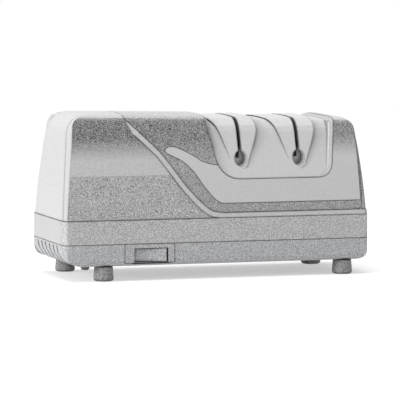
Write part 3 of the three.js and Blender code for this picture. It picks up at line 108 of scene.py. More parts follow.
class NodeGraph:
    """A small builder for a material's node tree."""

    def __init__(self, name: str) -> None:
        """Starts a material and finds its shader and coordinates.

        Args:
            name: The new material's name.
        """
        self.material = bpy.data.materials.new(name)
        self.material.use_nodes = True
        self.tree = self.material.node_tree
        self.shader = self.tree.nodes["Principled BSDF"]
        coordinates = self.add("ShaderNodeTexCoord")
        self.place = coordinates.outputs["Object"]
        self.facing = coordinates.outputs["Normal"]

    def add(self, kind: str, **values: object) -> bpy.types.Node:
        """Adds a node.

        Args:
            kind: The node's Blender type.
            **values: Attributes of the node, or plain values of inputs of that name.

        Returns:
            The new node.
        """
        node = self.tree.nodes.new(kind)
        for key, value in values.items():
            if key in node.inputs:
                node.inputs[key].default_value = value
            else:
                setattr(node, key, value)
        return node

    def link(self, output: Socket, target: Socket) -> None:
        """Joins an output to an input."""
        self.tree.links.new(output, target)

    def part(self, vector: Socket, axis: Axis) -> Socket:
        """Takes a vector's length along one axis.

        Args:
            vector: The vector's socket.
            axis: The axis.

        Returns:
            The length's socket.
        """
        node = self.add("ShaderNodeSeparateXYZ")
        self.link(vector, node.inputs[0])
        return node.outputs[axis.value]

    def noise(self, scale: float, detail: float = 2.0, stretch: Sequence[float] = (1, 1, 1)) -> Socket:
        """Adds noise on the object's own coordinates.

        Args:
            scale: Features per metre.
            detail: Octaves of finer noise.
            stretch: Scale along each axis.

        Returns:
            The noise factor's socket.
        """
        mapping = self.add("ShaderNodeMapping")
        mapping.inputs["Scale"].default_value = tuple(stretch)
        self.link(self.place, mapping.inputs["Vector"])
        node = self.add("ShaderNodeTexNoise", Scale=scale, Detail=detail)
        self.link(mapping.outputs["Vector"], node.inputs["Vector"])
        return node.outputs["Fac"]

    def between(self, factor: Socket, low: float, high: float, span: Span = NOISE_SPAN) -> Socket:
        """Maps a factor's useful span to a range.

        Args:
            factor: The factor.
            low: The value at its low end.
            high: The value at its high end.
            span: The factor's useful span.

        Returns:
            The mapped value's socket.
        """
        node = self.add("ShaderNodeMapRange")
        node.inputs["From Min"].default_value = span[0]
        node.inputs["From Max"].default_value = span[1]
        node.inputs["To Min"].default_value = low
        node.inputs["To Max"].default_value = high
        self.link(factor, node.inputs["Value"])
        return node.outputs["Result"]

    def maths(self, operation: str, first: Operand, second: Operand = None) -> Socket:
        """Works out a value from one or two others.

        Args:
            operation: The sum's Blender name.
            first: The first value, or its socket.
            second: The second value, or its socket.

        Returns:
            The result's socket.
        """
        node = self.add("ShaderNodeMath", operation=operation)
        for value, target in zip((first, second), node.inputs):
            if isinstance(value, Socket):
                self.link(value, target)
            elif value is not None:
                target.default_value = value
        return node.outputs[0]

    def product(self, first: Socket, *others: Operand) -> Socket:
        """Multiplies values.

        Args:
            first: The first value's socket.
            *others: The other values, or their sockets.

        Returns:
            The result's socket.
        """
        for other in others:
            first = self.maths("MULTIPLY", first, other)
        return first

    def size_of(self, value: Socket) -> Socket:
        """Drops a value's sign."""
        return self.maths("ABSOLUTE", value)

    def darkened(self, colour: Socket, share: Socket) -> Socket:
        """Darkens a colour, or lightens it where the share is negative.

        Args:
            colour: The colour's socket.
            share: How much of it is lost.

        Returns:
            The colour's socket.
        """
        node = self.add("ShaderNodeVectorMath", operation="SCALE")
        self.link(colour, node.inputs[0])
        self.link(self.maths("SUBTRACT", 1.0, share), node.inputs["Scale"])
        return node.outputs[0]

    def painted_edge_shade(self, radius: float, strength: float) -> Socket:
        """Finds where a surface turns sharply, along its edges and creases, for the painted shade there.

        Args:
            radius: How far from the edge it reaches, in metres.
            strength: The value on the edge itself.

        Returns:
            The value's socket.
        """
        # Painted shade: dark lines along sharp edges and creases.
        rounded = self.add("ShaderNodeBevel", samples=EDGE_SAMPLES, Radius=radius)
        surface = self.add("ShaderNodeNewGeometry")
        turn = self.add("ShaderNodeVectorMath", operation="DOT_PRODUCT")
        self.link(rounded.outputs["Normal"], turn.inputs[0])
        self.link(surface.outputs["Normal"], turn.inputs[1])
        return self.between(turn.outputs["Value"], strength, 0.0, EDGE_TURN_SPAN)

    def crevices(self, reach: float, strength: float) -> Socket:
        """Gives a painted shade strength deep in corners, seams and pockets, which fades over a reach in
        metres.
        """
        shelter = self.add("ShaderNodeAmbientOcclusion", samples=SHELTER_SAMPLES, Distance=reach)
        return self.between(shelter.outputs["AO"], strength, 0.0, OPEN_SPAN)

    def lee_shadow(self, reach: float, strength: float, lean: float) -> Socket:
        """Paints a shadow on the sheltered side of a step, the one that faces the right end.

        Args:
            reach: How far from the step it reaches, in metres.
            strength: The value beside it.
            lean: How far it leans to that side, as a share.

        Returns:
            The value's socket.
        """
        # Painted shadow: occlusion sought with the normal leant to the left end, so it falls to the right
        # of steps.
        surface = self.add("ShaderNodeNewGeometry")
        leant = self.add("ShaderNodeVectorMath", operation="ADD")
        leant.inputs[1].default_value = (-lean, 0.0, 0.0)
        unit = self.add("ShaderNodeVectorMath", operation="NORMALIZE")
        shelter = self.add("ShaderNodeAmbientOcclusion", samples=SHELTER_SAMPLES, Distance=reach)
        self.link(surface.outputs["Normal"], leant.inputs[0])
        self.link(leant.outputs["Vector"], unit.inputs[0])
        self.link(unit.outputs["Vector"], shelter.inputs["Normal"])
        return self.between(shelter.outputs["AO"], strength, 0.0, LEE_SPAN)

    def shade(self, colour: Colour, factor: Socket, spread: float) -> Socket:
        """Varies a colour's lightness by a factor.

        Args:
            colour: The middle colour, linear.
            factor: The noise that drives it.
            spread: How far the lightness swings, as a share.

        Returns:
            The colour's socket.
        """
        mix = self.add("ShaderNodeMix", data_type="RGBA")
        for socket, share in zip(MIX_COLOURS, (1 - spread, 1 + spread)):
            mix.inputs[socket].default_value = (*(min(channel * share, 1.0) for channel in colour), 1)
        self.link(self.between(factor, 0, 1), mix.inputs[MIX_FACTOR])
        return mix.outputs[MIX_COLOUR_RESULT]

    def bump(self, height: Socket, strength: float, depth: float) -> None:
        """Puts a relief on the surface.

        Args:
            height: The relief's height.
            strength: How strongly it shows.
            depth: Its depth in metres.
        """
        node = self.add("ShaderNodeBump", Strength=strength, Distance=depth)
        self.link(height, node.inputs["Height"])
        self.link(node.outputs["Normal"], self.shader.inputs["Normal"])


@dataclass(frozen=True)
class PaintedWallShade:
    """Painted reflection and shade in the front and back walls, stippled and densest under their
    shoulder.

    Attributes:
        depth: How much darker the walls are under the shoulder, as a share.
        low_depth: How much darker they are under the lower line.
        all_depth: How much darker they are all over.
        start: Place along the body where the stipple starts, in metres.
        faded: Height at which the upper stipple has faded, in metres.
        dense: Height from which it is dense.
        line: Height of the lower line.
        line_blur: Height over which the lower zone comes in.
        facing: How squarely a surface faces front or back where the stipple starts and is full.
        grain: Swing of the upper darkening from grain to grain, as a share.
        low_grain: Swing of the darkening from grain to grain below the line, as a share.
    """

    depth: float
    low_depth: float = 0.0
    all_depth: float = 0.0
    start: float = -1.0
    faded: float = 0.082
    dense: float = 0.097
    line: float = 0.072
    line_blur: float = 0.0008
    facing: Span = (0.6, 0.72)
    grain: float = 0.5
    low_grain: float = 0.5

    def share(self, graph: NodeGraph, grain: Socket) -> Socket:
        """Works out how much darker the surface is.

        Args:
            graph: The material's graph.
            grain: The noise that stipples the painted shade.

        Returns:
            The share's socket.
        """
        height = graph.part(graph.place, Axis.UP)
        upper = graph.between(height, 0.0, self.depth, (self.faded, self.dense))
        upper = graph.product(upper, graph.between(grain, 1.0 + self.grain, 1.0 - self.grain))
        line = (self.line - self.line_blur, self.line)
        lower = graph.between(height, self.low_depth + self.all_depth, self.all_depth, line)
        lower = graph.product(lower, graph.between(grain, 1.0 + self.low_grain, 1.0 - self.low_grain))
        sideways = graph.size_of(graph.part(graph.facing, Axis.ACROSS))
        facing = graph.between(sideways, 0.0, 1.0, self.facing)
        reached = graph.maths("GREATER_THAN", graph.part(graph.place, Axis.ALONG), self.start)
        return graph.product(graph.maths("ADD", upper, lower), facing, reached)


@dataclass(frozen=True)
class SideLine:
    """A line that climbs the housing's front and back alike, leaning and bowing inwards.

    Attributes:
        half: Distance from the middle at its foot, in metres.
        lean: How far it comes in per metre of rise.
        bow: How far it comes in further per square metre of rise.
        foot: Height of its foot.
    """

    half: float
    lean: float
    bow: float
    foot: float = 0.0416

    def outside(self, graph: NodeGraph) -> Socket:
        """Works out how far outside the line a point lies.

        Args:
            graph: The material's graph.

        Returns:
            The distance's socket, negative inside.
        """
        rise = graph.maths("SUBTRACT", graph.part(graph.place, Axis.UP), self.foot)
        leant = graph.product(rise, self.lean)
        bowed = graph.product(rise, rise, self.bow)
        across = graph.size_of(graph.part(graph.place, Axis.ACROSS))
        upright = graph.maths("ADD", across, graph.maths("ADD", leant, bowed))
        return graph.maths("SUBTRACT", upright, self.half)


@dataclass(frozen=True)
class PaleBead:
    """The raised bead and rail, which stay pale where the wall round them carries the painted shade.

    Above its end the bead is carried on to the shoulder by a flat pale strip that narrows.

    Attributes:
        lighter: How much lighter they are than the bare wall, as a share.
        wall: Where the wall's face is.
        raised: How far they stand out where the change comes in and is full, in metres.
        tip: Where the strip starts and ends on its way up the seam.
        tip_edge: How far towards the seam its lower edge is at its start and end.
        tip_fade: How far before its end the strip starts to fade, in metres.
        tip_blur: Width of the strip's edge, in metres.
        end_reach: Distances from the raised bead's end at which the painted shade comes back.
    """

    lighter: float = 0.03
    wall: SideLine = SideLine(half=0.0434, lean=0.0606, bow=1.804)
    raised: Span = (0.00025, 0.0004)
    tip: Span = (0.1579, 0.1712)
    tip_edge: Span = (0.0414, 0.0451)
    tip_fade: float = 0.003
    tip_blur: float = 0.0004
    end_reach: Span = (0.0014, 0.0028)

    def upward(self, graph: NodeGraph) -> Socket:
        """Tells how far up the seam a point is: its height less its place along the body."""
        height = graph.part(graph.place, Axis.UP)
        return graph.maths("SUBTRACT", height, graph.part(graph.place, Axis.ALONG))

    def across(self, graph: NodeGraph) -> Socket:
        """Tells how far towards the seam a point is: its height and its place together."""
        height = graph.part(graph.place, Axis.UP)
        return graph.maths("ADD", height, graph.part(graph.place, Axis.ALONG))

    def strip(self, graph: NodeGraph) -> Socket:
        """Finds the flat strip above the raised bead's end.

        Args:
            graph: The material's graph.

        Returns:
            A socket that is 1 on it.
        """
        upward = self.upward(graph)
        start, end = self.tip
        edge = graph.between(upward, *self.tip_edge, self.tip)
        past_edge = graph.maths("SUBTRACT", self.across(graph), edge)
        return graph.product(
            graph.between(past_edge, 0.0, 1.0, (0.0, self.tip_blur)),
            graph.between(upward, 0.0, 1.0, (start - self.tip_blur, start)),
            graph.between(upward, 1.0, 0.0, (end - self.tip_fade, end)),
        )

    def share(self, graph: NodeGraph, share: Socket) -> Socket:
        """Clears the wall's painted shade from the bead and lightens it.

        Args:
            graph: The material's graph.
            share: How much darker the wall is.

        Returns:
            The share's socket, with the bead left out.
        """
        raised = graph.between(self.wall.outside(graph), 0.0, 1.0, self.raised)
        wall, bead = MIX_FLOATS
        mix = graph.add("ShaderNodeMix", data_type="FLOAT")
        graph.link(graph.maths("MAXIMUM", raised, self.strip(graph)), mix.inputs[MIX_FACTOR])
        graph.link(share, mix.inputs[wall])
        mix.inputs[bead].default_value = -self.lighter
        return mix.outputs[MIX_FLOAT_RESULT]

    def clean(self, graph: NodeGraph) -> Socket:
        """Finds the raised bead's end, which blends into the strip without the painted edge and crevice
        shade.

        Args:
            graph: The material's graph.

        Returns:
            The socket of what is left of the painted edge and crevice shade there and elsewhere, as a
            share.
        """
        start = self.tip[0]
        edge = self.tip_edge[0]
        distance = graph.size_of(graph.maths("SUBTRACT", self.upward(graph), start))
        near = graph.between(distance, 1.0, 0.0, self.end_reach)
        beside = graph.between(self.across(graph), 0.0, 1.0, (edge - self.end_reach[0], edge))
        return graph.maths("SUBTRACT", 1.0, graph.product(near, beside))


@dataclass(frozen=True)
class CornerStrip:
    """Painted shade lines on either side of the strips at the housing's corners.

    Attributes:
        depth: How much darker the painted line in the end face is, as a share.
        line: Where that line runs.
        blur: Half the line's width.
        end: Distances from the middle of the body at which that line comes in and is full.
        edge_depth: How much darker the painted shade along the wall is, as a share.
        edge_turn: How far the surface has turned to the side where that shade comes in and is full.
        edge_facing: How squarely a surface still faces along the body where that shade ends.
    """

    depth: float = 0.5
    line: SideLine = SideLine(half=0.0368, lean=0.0785, bow=2.04)
    blur: float = 0.0011
    end: Span = (0.084, 0.097)
    edge_depth: float = 0.4
    edge_turn: Span = (0.4, 0.6)
    edge_facing: float = 0.3

    def share(self, graph: NodeGraph) -> Socket:
        """Works out how much darker the surface is.

        Args:
            graph: The material's graph.

        Returns:
            The share's socket.
        """
        distance = graph.size_of(self.line.outside(graph))
        from_middle = graph.size_of(graph.part(graph.place, Axis.ALONG))
        shade_line = graph.product(
            graph.between(distance, self.depth, 0.0, (0.0, self.blur)),
            graph.between(from_middle, 0.0, 1.0, self.end),
        )
        sideways = graph.size_of(graph.part(graph.facing, Axis.ACROSS))
        lengthwise = graph.size_of(graph.part(graph.facing, Axis.ALONG))
        edge = graph.product(
            graph.between(sideways, 0.0, self.edge_depth, self.edge_turn),
            graph.maths("GREATER_THAN", lengthwise, self.edge_facing),
        )
        return graph.maths("MAXIMUM", shade_line, edge)


@dataclass(frozen=True)
class RampShade:
    """Painted shade that dims the slopes facing the left end, past a place along the body.

    Attributes:
        depth: How much darker they are, as a share.
        start: Place along the body where it starts, in metres.
        facing: How squarely a surface faces the left end where it comes in and is full.
    """

    depth: float = 0.3
    start: float = 0.08
    facing: Span = (0.15, 0.4)

    def share(self, graph: NodeGraph) -> Socket:
        """Works out how much darker the surface is.

        Args:
            graph: The material's graph.

        Returns:
            The share's socket.
        """
        leftward = graph.product(graph.part(graph.facing, Axis.ALONG), -1.0)
        reached = graph.maths("GREATER_THAN", graph.part(graph.place, Axis.ALONG), self.start)
        return graph.product(graph.between(leftward, 0.0, self.depth, self.facing), reached)


@dataclass(frozen=True)
class LeeShadow:
    """A painted shadow on the sheltered side of a step, above a height.

    Attributes:
        depth: How much darker that side is, as a share.
        reach: How far from the step it reaches, in metres.
        lean: How far it leans to that side, as a share.
        height: Heights between which it comes in, in metres.
    """

    depth: float = 0.5
    reach: float = 0.006
    lean: float = 0.7
    height: Span = (0.084, 0.09)

    def share(self, graph: NodeGraph) -> Socket:
        """Works out how much darker the surface is."""
        above = graph.between(graph.part(graph.place, Axis.UP), 0.0, 1.0, self.height)
        return graph.product(graph.lee_shadow(self.reach, self.depth, self.lean), above)


@dataclass(frozen=True)
class Moulded:
    """Moulded plastic with a fine grain, slow mottling, a satin sheen and painted shade along edges and
    in crevices.

    Attributes:
        colour: Linear colour.
        roughness: Middle roughness.
        grain: Grains per metre.
        relief: Depth of the grain in metres.
        strength: How strongly the grain shows.
        mottle: Swing of the lightness, as a share, where there is no speckle.
        speckle: Swing of the lightness from grain to grain, as a share.
        gloss: Specular level.
        sheen: Swing of the roughness.
        edge_shade: How much darker the painted shade along sharp edges and creases is, as a share.
        edge_shade_swing: How far that varies from place to place.
        edge_shade_reach: How far that painted shade reaches from the edges, in metres.
        crevice_shade: How much darker the painted shade in crevices is, as a share.
        crevice_shade_reach: How far from a crevice that painted shade reaches, in metres.
        lee_shadow: The painted shadow on the sheltered side of steps, if it has any.
        wall_shade: The painted reflection and shade on the walls, if it has them.
        wall_shade_grain: Grains of that painted shade's stipple per metre.
        strips: The painted shade lines at the corner strips, if it has them.
        bead: The pale bead across the painted wall shade, if it has one.
        ramp: The painted shade on the slopes near its right end, if it has any.
    """

    colour: Colour
    roughness: float
    grain: float = 2600.0
    relief: float = 0.00003
    strength: float = 0.15
    mottle: float = 0.015
    speckle: float = 0.0
    gloss: float = 0.5
    sheen: float = 0.03
    edge_shade: float = 0.5
    edge_shade_swing: Span = (0.7, 1.1)
    edge_shade_reach: float = 0.0009
    crevice_shade: float = 0.5
    crevice_shade_reach: float = 0.0025
    lee_shadow: LeeShadow | None = None
    wall_shade: PaintedWallShade | None = None
    wall_shade_grain: float = 900.0
    strips: CornerStrip | None = None
    bead: PaleBead | None = None
    ramp: RampShade | None = None

    def material(self, name: str) -> bpy.types.Material:
        """Builds the finish.

        Args:
            name: The material's name.

        Returns:
            The material.
        """
        graph = NodeGraph(name)
        grain = graph.noise(self.grain, GRAIN_OCTAVES)
        slow = graph.noise(SLOW_GRAIN, GRAIN_OCTAVES)
        if self.speckle:
            colour = graph.shade(self.colour, grain, self.speckle)
        else:
            colour = graph.shade(self.colour, slow, self.mottle)
        # Painted reflection and shade on the front and back walls, kept off the bead.
        if self.wall_shade:
            share = self.wall_shade.share(graph, graph.noise(self.wall_shade_grain, WALL_SHADE_OCTAVES))
            if self.bead:
                share = self.bead.share(graph, share)
            colour = graph.darkened(colour, share)
        # Painted shade lines at the corner strips.
        if self.strips:
            colour = graph.darkened(colour, self.strips.share(graph))
        # Painted shade in corners, seams and pockets.
        crevice_shade = graph.crevices(self.crevice_shade_reach, self.crevice_shade)
        # Painted shade along sharp edges and creases, stronger in some places than in others.
        edge_shaded = graph.product(
            graph.painted_edge_shade(self.edge_shade_reach, self.edge_shade), graph.between(slow, *self.edge_shade_swing)
        )
        # The bead's end is left out of the painted edge and crevice shade.
        if self.bead:
            clean = self.bead.clean(graph)
            crevice_shade = graph.product(crevice_shade, clean)
            edge_shaded = graph.product(edge_shaded, clean)
        colour = graph.darkened(colour, crevice_shade)
        # Painted shadow beside steps, on their side that faces the right end.
        if self.lee_shadow:
            colour = graph.darkened(colour, self.lee_shadow.share(graph))
        # Painted shade on the slopes that face the left end.
        if self.ramp:
            colour = graph.darkened(colour, self.ramp.share(graph))
        roughness = graph.between(slow, self.roughness - self.sheen, self.roughness + self.sheen)
        graph.link(graph.darkened(colour, edge_shaded), graph.shader.inputs["Base Color"])
        graph.link(roughness, graph.shader.inputs["Roughness"])
        graph.shader.inputs["Specular IOR Level"].default_value = self.gloss
        graph.bump(grain, self.strength, self.relief)
        return graph.material


@dataclass(frozen=True)
class Metal:
    """Turned, rolled or sintered metal with fine marks.

    Attributes:
        colour: Linear colour.
        roughness: Middle roughness.
        stretch: Scale of the marks along each axis.
        marks: Marks per metre.
        relief: Depth of the marks in metres.
        strength: How strongly they show.
        spread: Swing of the lightness, as a share.
        sheen: Swing of the roughness.
    """

    colour: Colour
    roughness: float
    stretch: tuple[float, float, float] = (1, 1, 1)
    marks: float = 900.0
    relief: float = 0.00002
    strength: float = 0.25
    spread: float = 0.12
    sheen: float = 0.08

    def material(self, name: str) -> bpy.types.Material:
        """Builds the finish.

        Args:
            name: The material's name.

        Returns:
            The material.
        """
        graph = NodeGraph(name)
        marks = graph.noise(self.marks, GRAIN_OCTAVES, self.stretch)
        roughness = graph.between(marks, self.roughness - self.sheen, self.roughness + self.sheen)
        graph.link(graph.shade(self.colour, marks, self.spread), graph.shader.inputs["Base Color"])
        graph.link(roughness, graph.shader.inputs["Roughness"])
        graph.shader.inputs["Metallic"].default_value = 1.0
        graph.bump(marks, self.strength, self.relief)
        return graph.material


@dataclass(frozen=True)
class Abrasive:
    """Bonded grit, rough and glittering a little.

    Attributes:
        colour: Linear colour.
        grit: Grains per metre.
        relief: Depth of the grit in metres.
        strength: How strongly it shows.
        spread: Swing of the lightness, as a share.
        roughness: Roughness between the grains and on them.
    """

    colour: Colour
    grit: float
    relief: float
    strength: float = 0.6
    spread: float = 0.35
    roughness: Span = (0.95, 0.7)

    def material(self, name: str) -> bpy.types.Material:
        """Builds the finish.

        Args:
            name: The material's name.

        Returns:
            The material.
        """
        graph = NodeGraph(name)
        cells = graph.add("ShaderNodeTexVoronoi", Scale=self.grit)
        graph.link(graph.place, cells.inputs["Vector"])
        grains = cells.outputs["Distance"]
        graph.link(graph.shade(self.colour, grains, self.spread), graph.shader.inputs["Base Color"])
        graph.link(graph.between(grains, *self.roughness), graph.shader.inputs["Roughness"])
        graph.bump(grains, self.strength, self.relief)
        return graph.material


@dataclass(frozen=True)
class Layered:
    """A stack or winding whose layers show as fine parallel lines.

    Attributes:
        colour: Linear colour.
        axis: The axis that the layers are stacked along.
        pitch: Distance from layer to layer, in metres.
        roughness: Middle roughness.
        metallic: How metallic it is.
        waver: How far the lines stray.
        strength: How strongly they show.
        spread: Swing of the lightness, as a share.
        patches: Patches of other roughness per metre.
        sheen: Swing of the roughness.
        groove: Depth of the lines, as a share of the pitch.
    """

    colour: Colour
    axis: Axis
    pitch: float
    roughness: float
    metallic: float
    waver: float = 0.4
    strength: float = 0.5
    spread: float = 0.25
    patches: float = 300.0
    sheen: float = 0.06
    groove: float = 0.25

    def material(self, name: str) -> bpy.types.Material:
        """Builds the finish.

        Args:
            name: The material's name.

        Returns:
            The material.
        """
        graph = NodeGraph(name)
        wave = graph.add("ShaderNodeTexWave", bands_direction=self.axis.value)
        wave.inputs["Scale"].default_value = BAND_SCALE / self.pitch
        wave.inputs["Distortion"].default_value = self.waver
        graph.link(graph.place, wave.inputs["Vector"])
        lines = wave.outputs["Fac"]
        patches = graph.noise(self.patches)
        roughness = graph.between(patches, self.roughness - self.sheen, self.roughness + self.sheen)
        graph.link(graph.shade(self.colour, lines, self.spread), graph.shader.inputs["Base Color"])
        graph.link(roughness, graph.shader.inputs["Roughness"])
        graph.shader.inputs["Metallic"].default_value = self.metallic
        graph.bump(lines, self.strength, self.pitch * self.groove)
        return graph.material


# The wall shade, corner lines, edge and crevice shade, lee shadow and ramp shade in these finishes are
# painted light and shade.
FINISHES: dict[Finish, Moulded | Metal | Abrasive | Layered] = {
    Finish.LIGHT_SHELL: Moulded(
        (0.61, 0.61, 0.615), 0.32, grain=1100, speckle=0.14, edge_shade=0.75, edge_shade_reach=0.0013,
        wall_shade=PaintedWallShade(0.64, 0.24, grain=0.75, low_grain=2.4), wall_shade_grain=1500,
        strips=CornerStrip(), bead=PaleBead(),
    ),
    Finish.DARK_COVER: Moulded(
        (0.515, 0.515, 0.518), 0.3, grain=1280, relief=0.0001, strength=0.2, speckle=0.55,
        wall_shade=PaintedWallShade(0.25, all_depth=0.26, grain=0.8, low_grain=1.3), wall_shade_grain=1500,
    ),
    Finish.ACCENT: Moulded(
        (0.66, 0.66, 0.665), 0.36, grain=1100, speckle=0.07, wall_shade=PaintedWallShade(0.55, start=0.08),
    ),
    Finish.GUIDE: Moulded(
        (0.69, 0.69, 0.695), 0.36, grain=1100, speckle=0.07, edge_shade=0.75, edge_shade_reach=0.0015, crevice_shade=0.38,
        crevice_shade_reach=0.004, lee_shadow=LeeShadow(), ramp=RampShade(),
    ),
    Finish.BAND: Moulded((0.535, 0.535, 0.54), 0.36, grain=1700, speckle=0.7),
    Finish.BASE: Moulded((0.49, 0.495, 0.507), 0.38, grain=1700, speckle=0.7, crevice_shade=0.85),
    Finish.RUBBER: Moulded((0.31, 0.31, 0.31), 0.7, relief=0.0001, strength=0.4, grain=900, speckle=0.55),
    Finish.BLACK_PLASTIC: Moulded((0.03, 0.03, 0.031), 0.5, grain=1800, strength=0.3, mottle=0.1),
    Finish.STEEL: Metal((0.56, 0.57, 0.59), 0.33, stretch=(0.2, 1, 1)),
    Finish.BLACKENED_STEEL: Metal((0.14, 0.14, 0.145), 0.45),
    Finish.LAMINATION: Layered((0.22, 0.23, 0.25), Axis.ALONG, 0.0006, 0.45, 0.7),
    Finish.COPPER: Layered((0.52, 0.21, 0.08), Axis.ACROSS, 0.0005, 0.35, 0.8),
    Finish.BRASS: Metal((0.60, 0.44, 0.19), 0.45, marks=1600),
    Finish.ABRASIVE_COARSE: Abrasive((0.20, 0.21, 0.23), 1500, 0.0004),
    Finish.ABRASIVE_FINE: Abrasive((0.33, 0.34, 0.36), 2600, 0.0002),
    Finish.MAGNET: Moulded((0.05, 0.05, 0.055), 0.6, grain=1200, strength=0.3, mottle=0.15),
}


@dataclass(frozen=True)
class EdgeBreak:
    """The small rounding that moulded and pressed parts have along their edges.

    Attributes:
        width: Width of the rounding in metres.
        segments: Facets across it.
        smooth_angle: Edges flatter than this are shaded smooth, in degrees.
        flatness: How much more large faces weigh than small ones in the shading.
    """

    width: float = 0.00025
    segments: int = 2
    smooth_angle: float = 32.0
    flatness: int = 100

    def dress(self, piece: bpy.types.Object) -> None:
        """Adds the rounding and smooth shading as modifiers.

        Args:
            piece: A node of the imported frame.
        """
        smooth = piece.modifiers.new("smooth_faces", "NODES")
        smooth.node_group = self.smooth_faces()
        bevel = piece.modifiers.new("edge_break", "BEVEL")
        bevel.width = self.width
        bevel.segments = self.segments
        bevel.limit_method = "ANGLE"
        bevel.angle_limit = math.radians(self.smooth_angle)
        bevel.use_clamp_overlap = True
        bevel.miter_outer = "MITER_ARC"
        bevel.harden_normals = False
        weight = piece.modifiers.new("flat_faces", "WEIGHTED_NORMAL")
        weight.weight = self.flatness
        weight.keep_sharp = True

    def smooth_faces(self) -> bpy.types.NodeTree:
        """Makes the modifier that smooths faces and keeps the sharper edges sharp.

        Returns:
            The node group, which all pieces with this angle share.
        """
        name = f"smooth_{self.smooth_angle:.0f}"
        if name in bpy.data.node_groups:
            return bpy.data.node_groups[name]
        group = bpy.data.node_groups.new(name, "GeometryNodeTree")
        group.interface.new_socket("Geometry", in_out="INPUT", socket_type="NodeSocketGeometry")
        group.interface.new_socket("Geometry", in_out="OUTPUT", socket_type="NodeSocketGeometry")
        start = group.nodes.new("NodeGroupInput")
        end = group.nodes.new("NodeGroupOutput")
        merge = group.nodes.new("GeometryNodeMergeByDistance")
        merge.inputs["Distance"].default_value = MERGE_DISTANCE
        faces = group.nodes.new("GeometryNodeSetShadeSmooth")
        faces.domain = "FACE"
        edges = group.nodes.new("GeometryNodeSetShadeSmooth")
        edges.domain = "EDGE"
        edges.inputs["Shade Smooth"].default_value = False
        bend = group.nodes.new("GeometryNodeInputMeshEdgeAngle")
        over = group.nodes.new("FunctionNodeCompare")
        over.operation = "GREATER_THAN"
        over.inputs[1].default_value = math.radians(self.smooth_angle)
        links = group.links
        links.new(start.outputs[0], merge.inputs["Geometry"])
        links.new(merge.outputs["Geometry"], faces.inputs["Geometry"])
        links.new(faces.outputs["Geometry"], edges.inputs["Geometry"])
        links.new(bend.outputs["Unsigned Angle"], over.inputs[0])
        links.new(over.outputs["Result"], edges.inputs["Selection"])
        links.new(edges.outputs["Geometry"], end.inputs[0])
        return group


@dataclass(frozen=True)
class SubAssembly:
    """Pieces that are fitted together and dressed in one go.

    Attributes:
        edge: The rounding of their edges.
    """

    edge: EdgeBreak = EdgeBreak()

    def finishes(self) -> dict[str, Finish]:
        """Lists the pieces with their finishes."""
        raise NotImplementedError

    def dress(
        self, nodes: dict[str, bpy.types.Object], materials: dict[Finish, bpy.types.Material]
    ) -> None:
        """Gives the pieces their finishes and their broken edges.

        Args:
            nodes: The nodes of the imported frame, by name.
            materials: The material of each finish.
        """
        for name, finish in self.finishes().items():
            piece = nodes[name]
            piece.data.materials.clear()
            piece.data.materials.append(materials[finish])
            self.edge.dress(piece)
            log.info("%s: %s in %s", type(self).__name__, name, finish.value)


@dataclass(frozen=True)
class Shell(SubAssembly):
    """The upper housing, the stage cover in its slanted seam and the inlay in that."""

    def finishes(self) -> dict[str, Finish]:
        """Lists the pieces with their finishes."""
        return {
            "upper_housing": Finish.LIGHT_SHELL,
            "stage_cover": Finish.DARK_COVER,
            "accent_trim": Finish.ACCENT,
        }


@dataclass(frozen=True)
class GuideInsert(SubAssembly):
    """The dished knife guide, whose edges are rounder than the shell's.

    Attributes:
        edge: The rounding of its edges.
    """

    edge: EdgeBreak = EdgeBreak(width=0.0004)

    def finishes(self) -> dict[str, Finish]:
        """Lists the piece with its finish."""
        return {"knife_guide": Finish.GUIDE}


@dataclass(frozen=True)
class Tray(SubAssembly):
    """The band, the base with its feet and gland, and the clean-out cover with its magnets."""

    def finishes(self) -> dict[str, Finish]:
        """Lists the pieces with their finishes."""
        return {
            "middle_band": Finish.BAND,
            "base": Finish.BASE,
            "cleanout_cover": Finish.BASE,
            "filings_magnet_coarse": Finish.MAGNET,
            "filings_magnet_fine": Finish.MAGNET,
            "foot_front_left": Finish.RUBBER,
            "foot_front_right": Finish.RUBBER,
            "foot_back_left": Finish.RUBBER,
            "foot_back_right": Finish.RUBBER,
            "cord_gland": Finish.RUBBER,
        }


@dataclass(frozen=True)
class Switch(SubAssembly):
    """The rocker switch in the base's front wall."""

    def finishes(self) -> dict[str, Finish]:
        """Lists the pieces with their finishes."""
        return {
            "switch_bezel": Finish.BASE,
            "switch_rocker": Finish.BASE,
            "switch_body": Finish.BLACK_PLASTIC,
            "switch_terminal_1": Finish.BRASS,
            "switch_terminal_2": Finish.BRASS,
        }


@dataclass(frozen=True)
class Motor(SubAssembly):
    """The shaded-pole motor with its brackets and bushes, the fan and the shaft."""

    def finishes(self) -> dict[str, Finish]:
        """Lists the pieces with their finishes."""
        return {
            "motor_stator": Finish.LAMINATION,
            "rotor_core": Finish.LAMINATION,
            "bobbin": Finish.BLACK_PLASTIC,
            "stator_coil": Finish.COPPER,
            "motor_bracket_left": Finish.STEEL,
            "motor_bracket_right": Finish.STEEL,
            "bush_left": Finish.BRASS,
            "bush_right": Finish.BRASS,
            "motor_bolt_front": Finish.STEEL,
            "motor_bolt_back": Finish.STEEL,
            "cooling_fan": Finish.BLACK_PLASTIC,
            "drive_shaft": Finish.STEEL,
        }


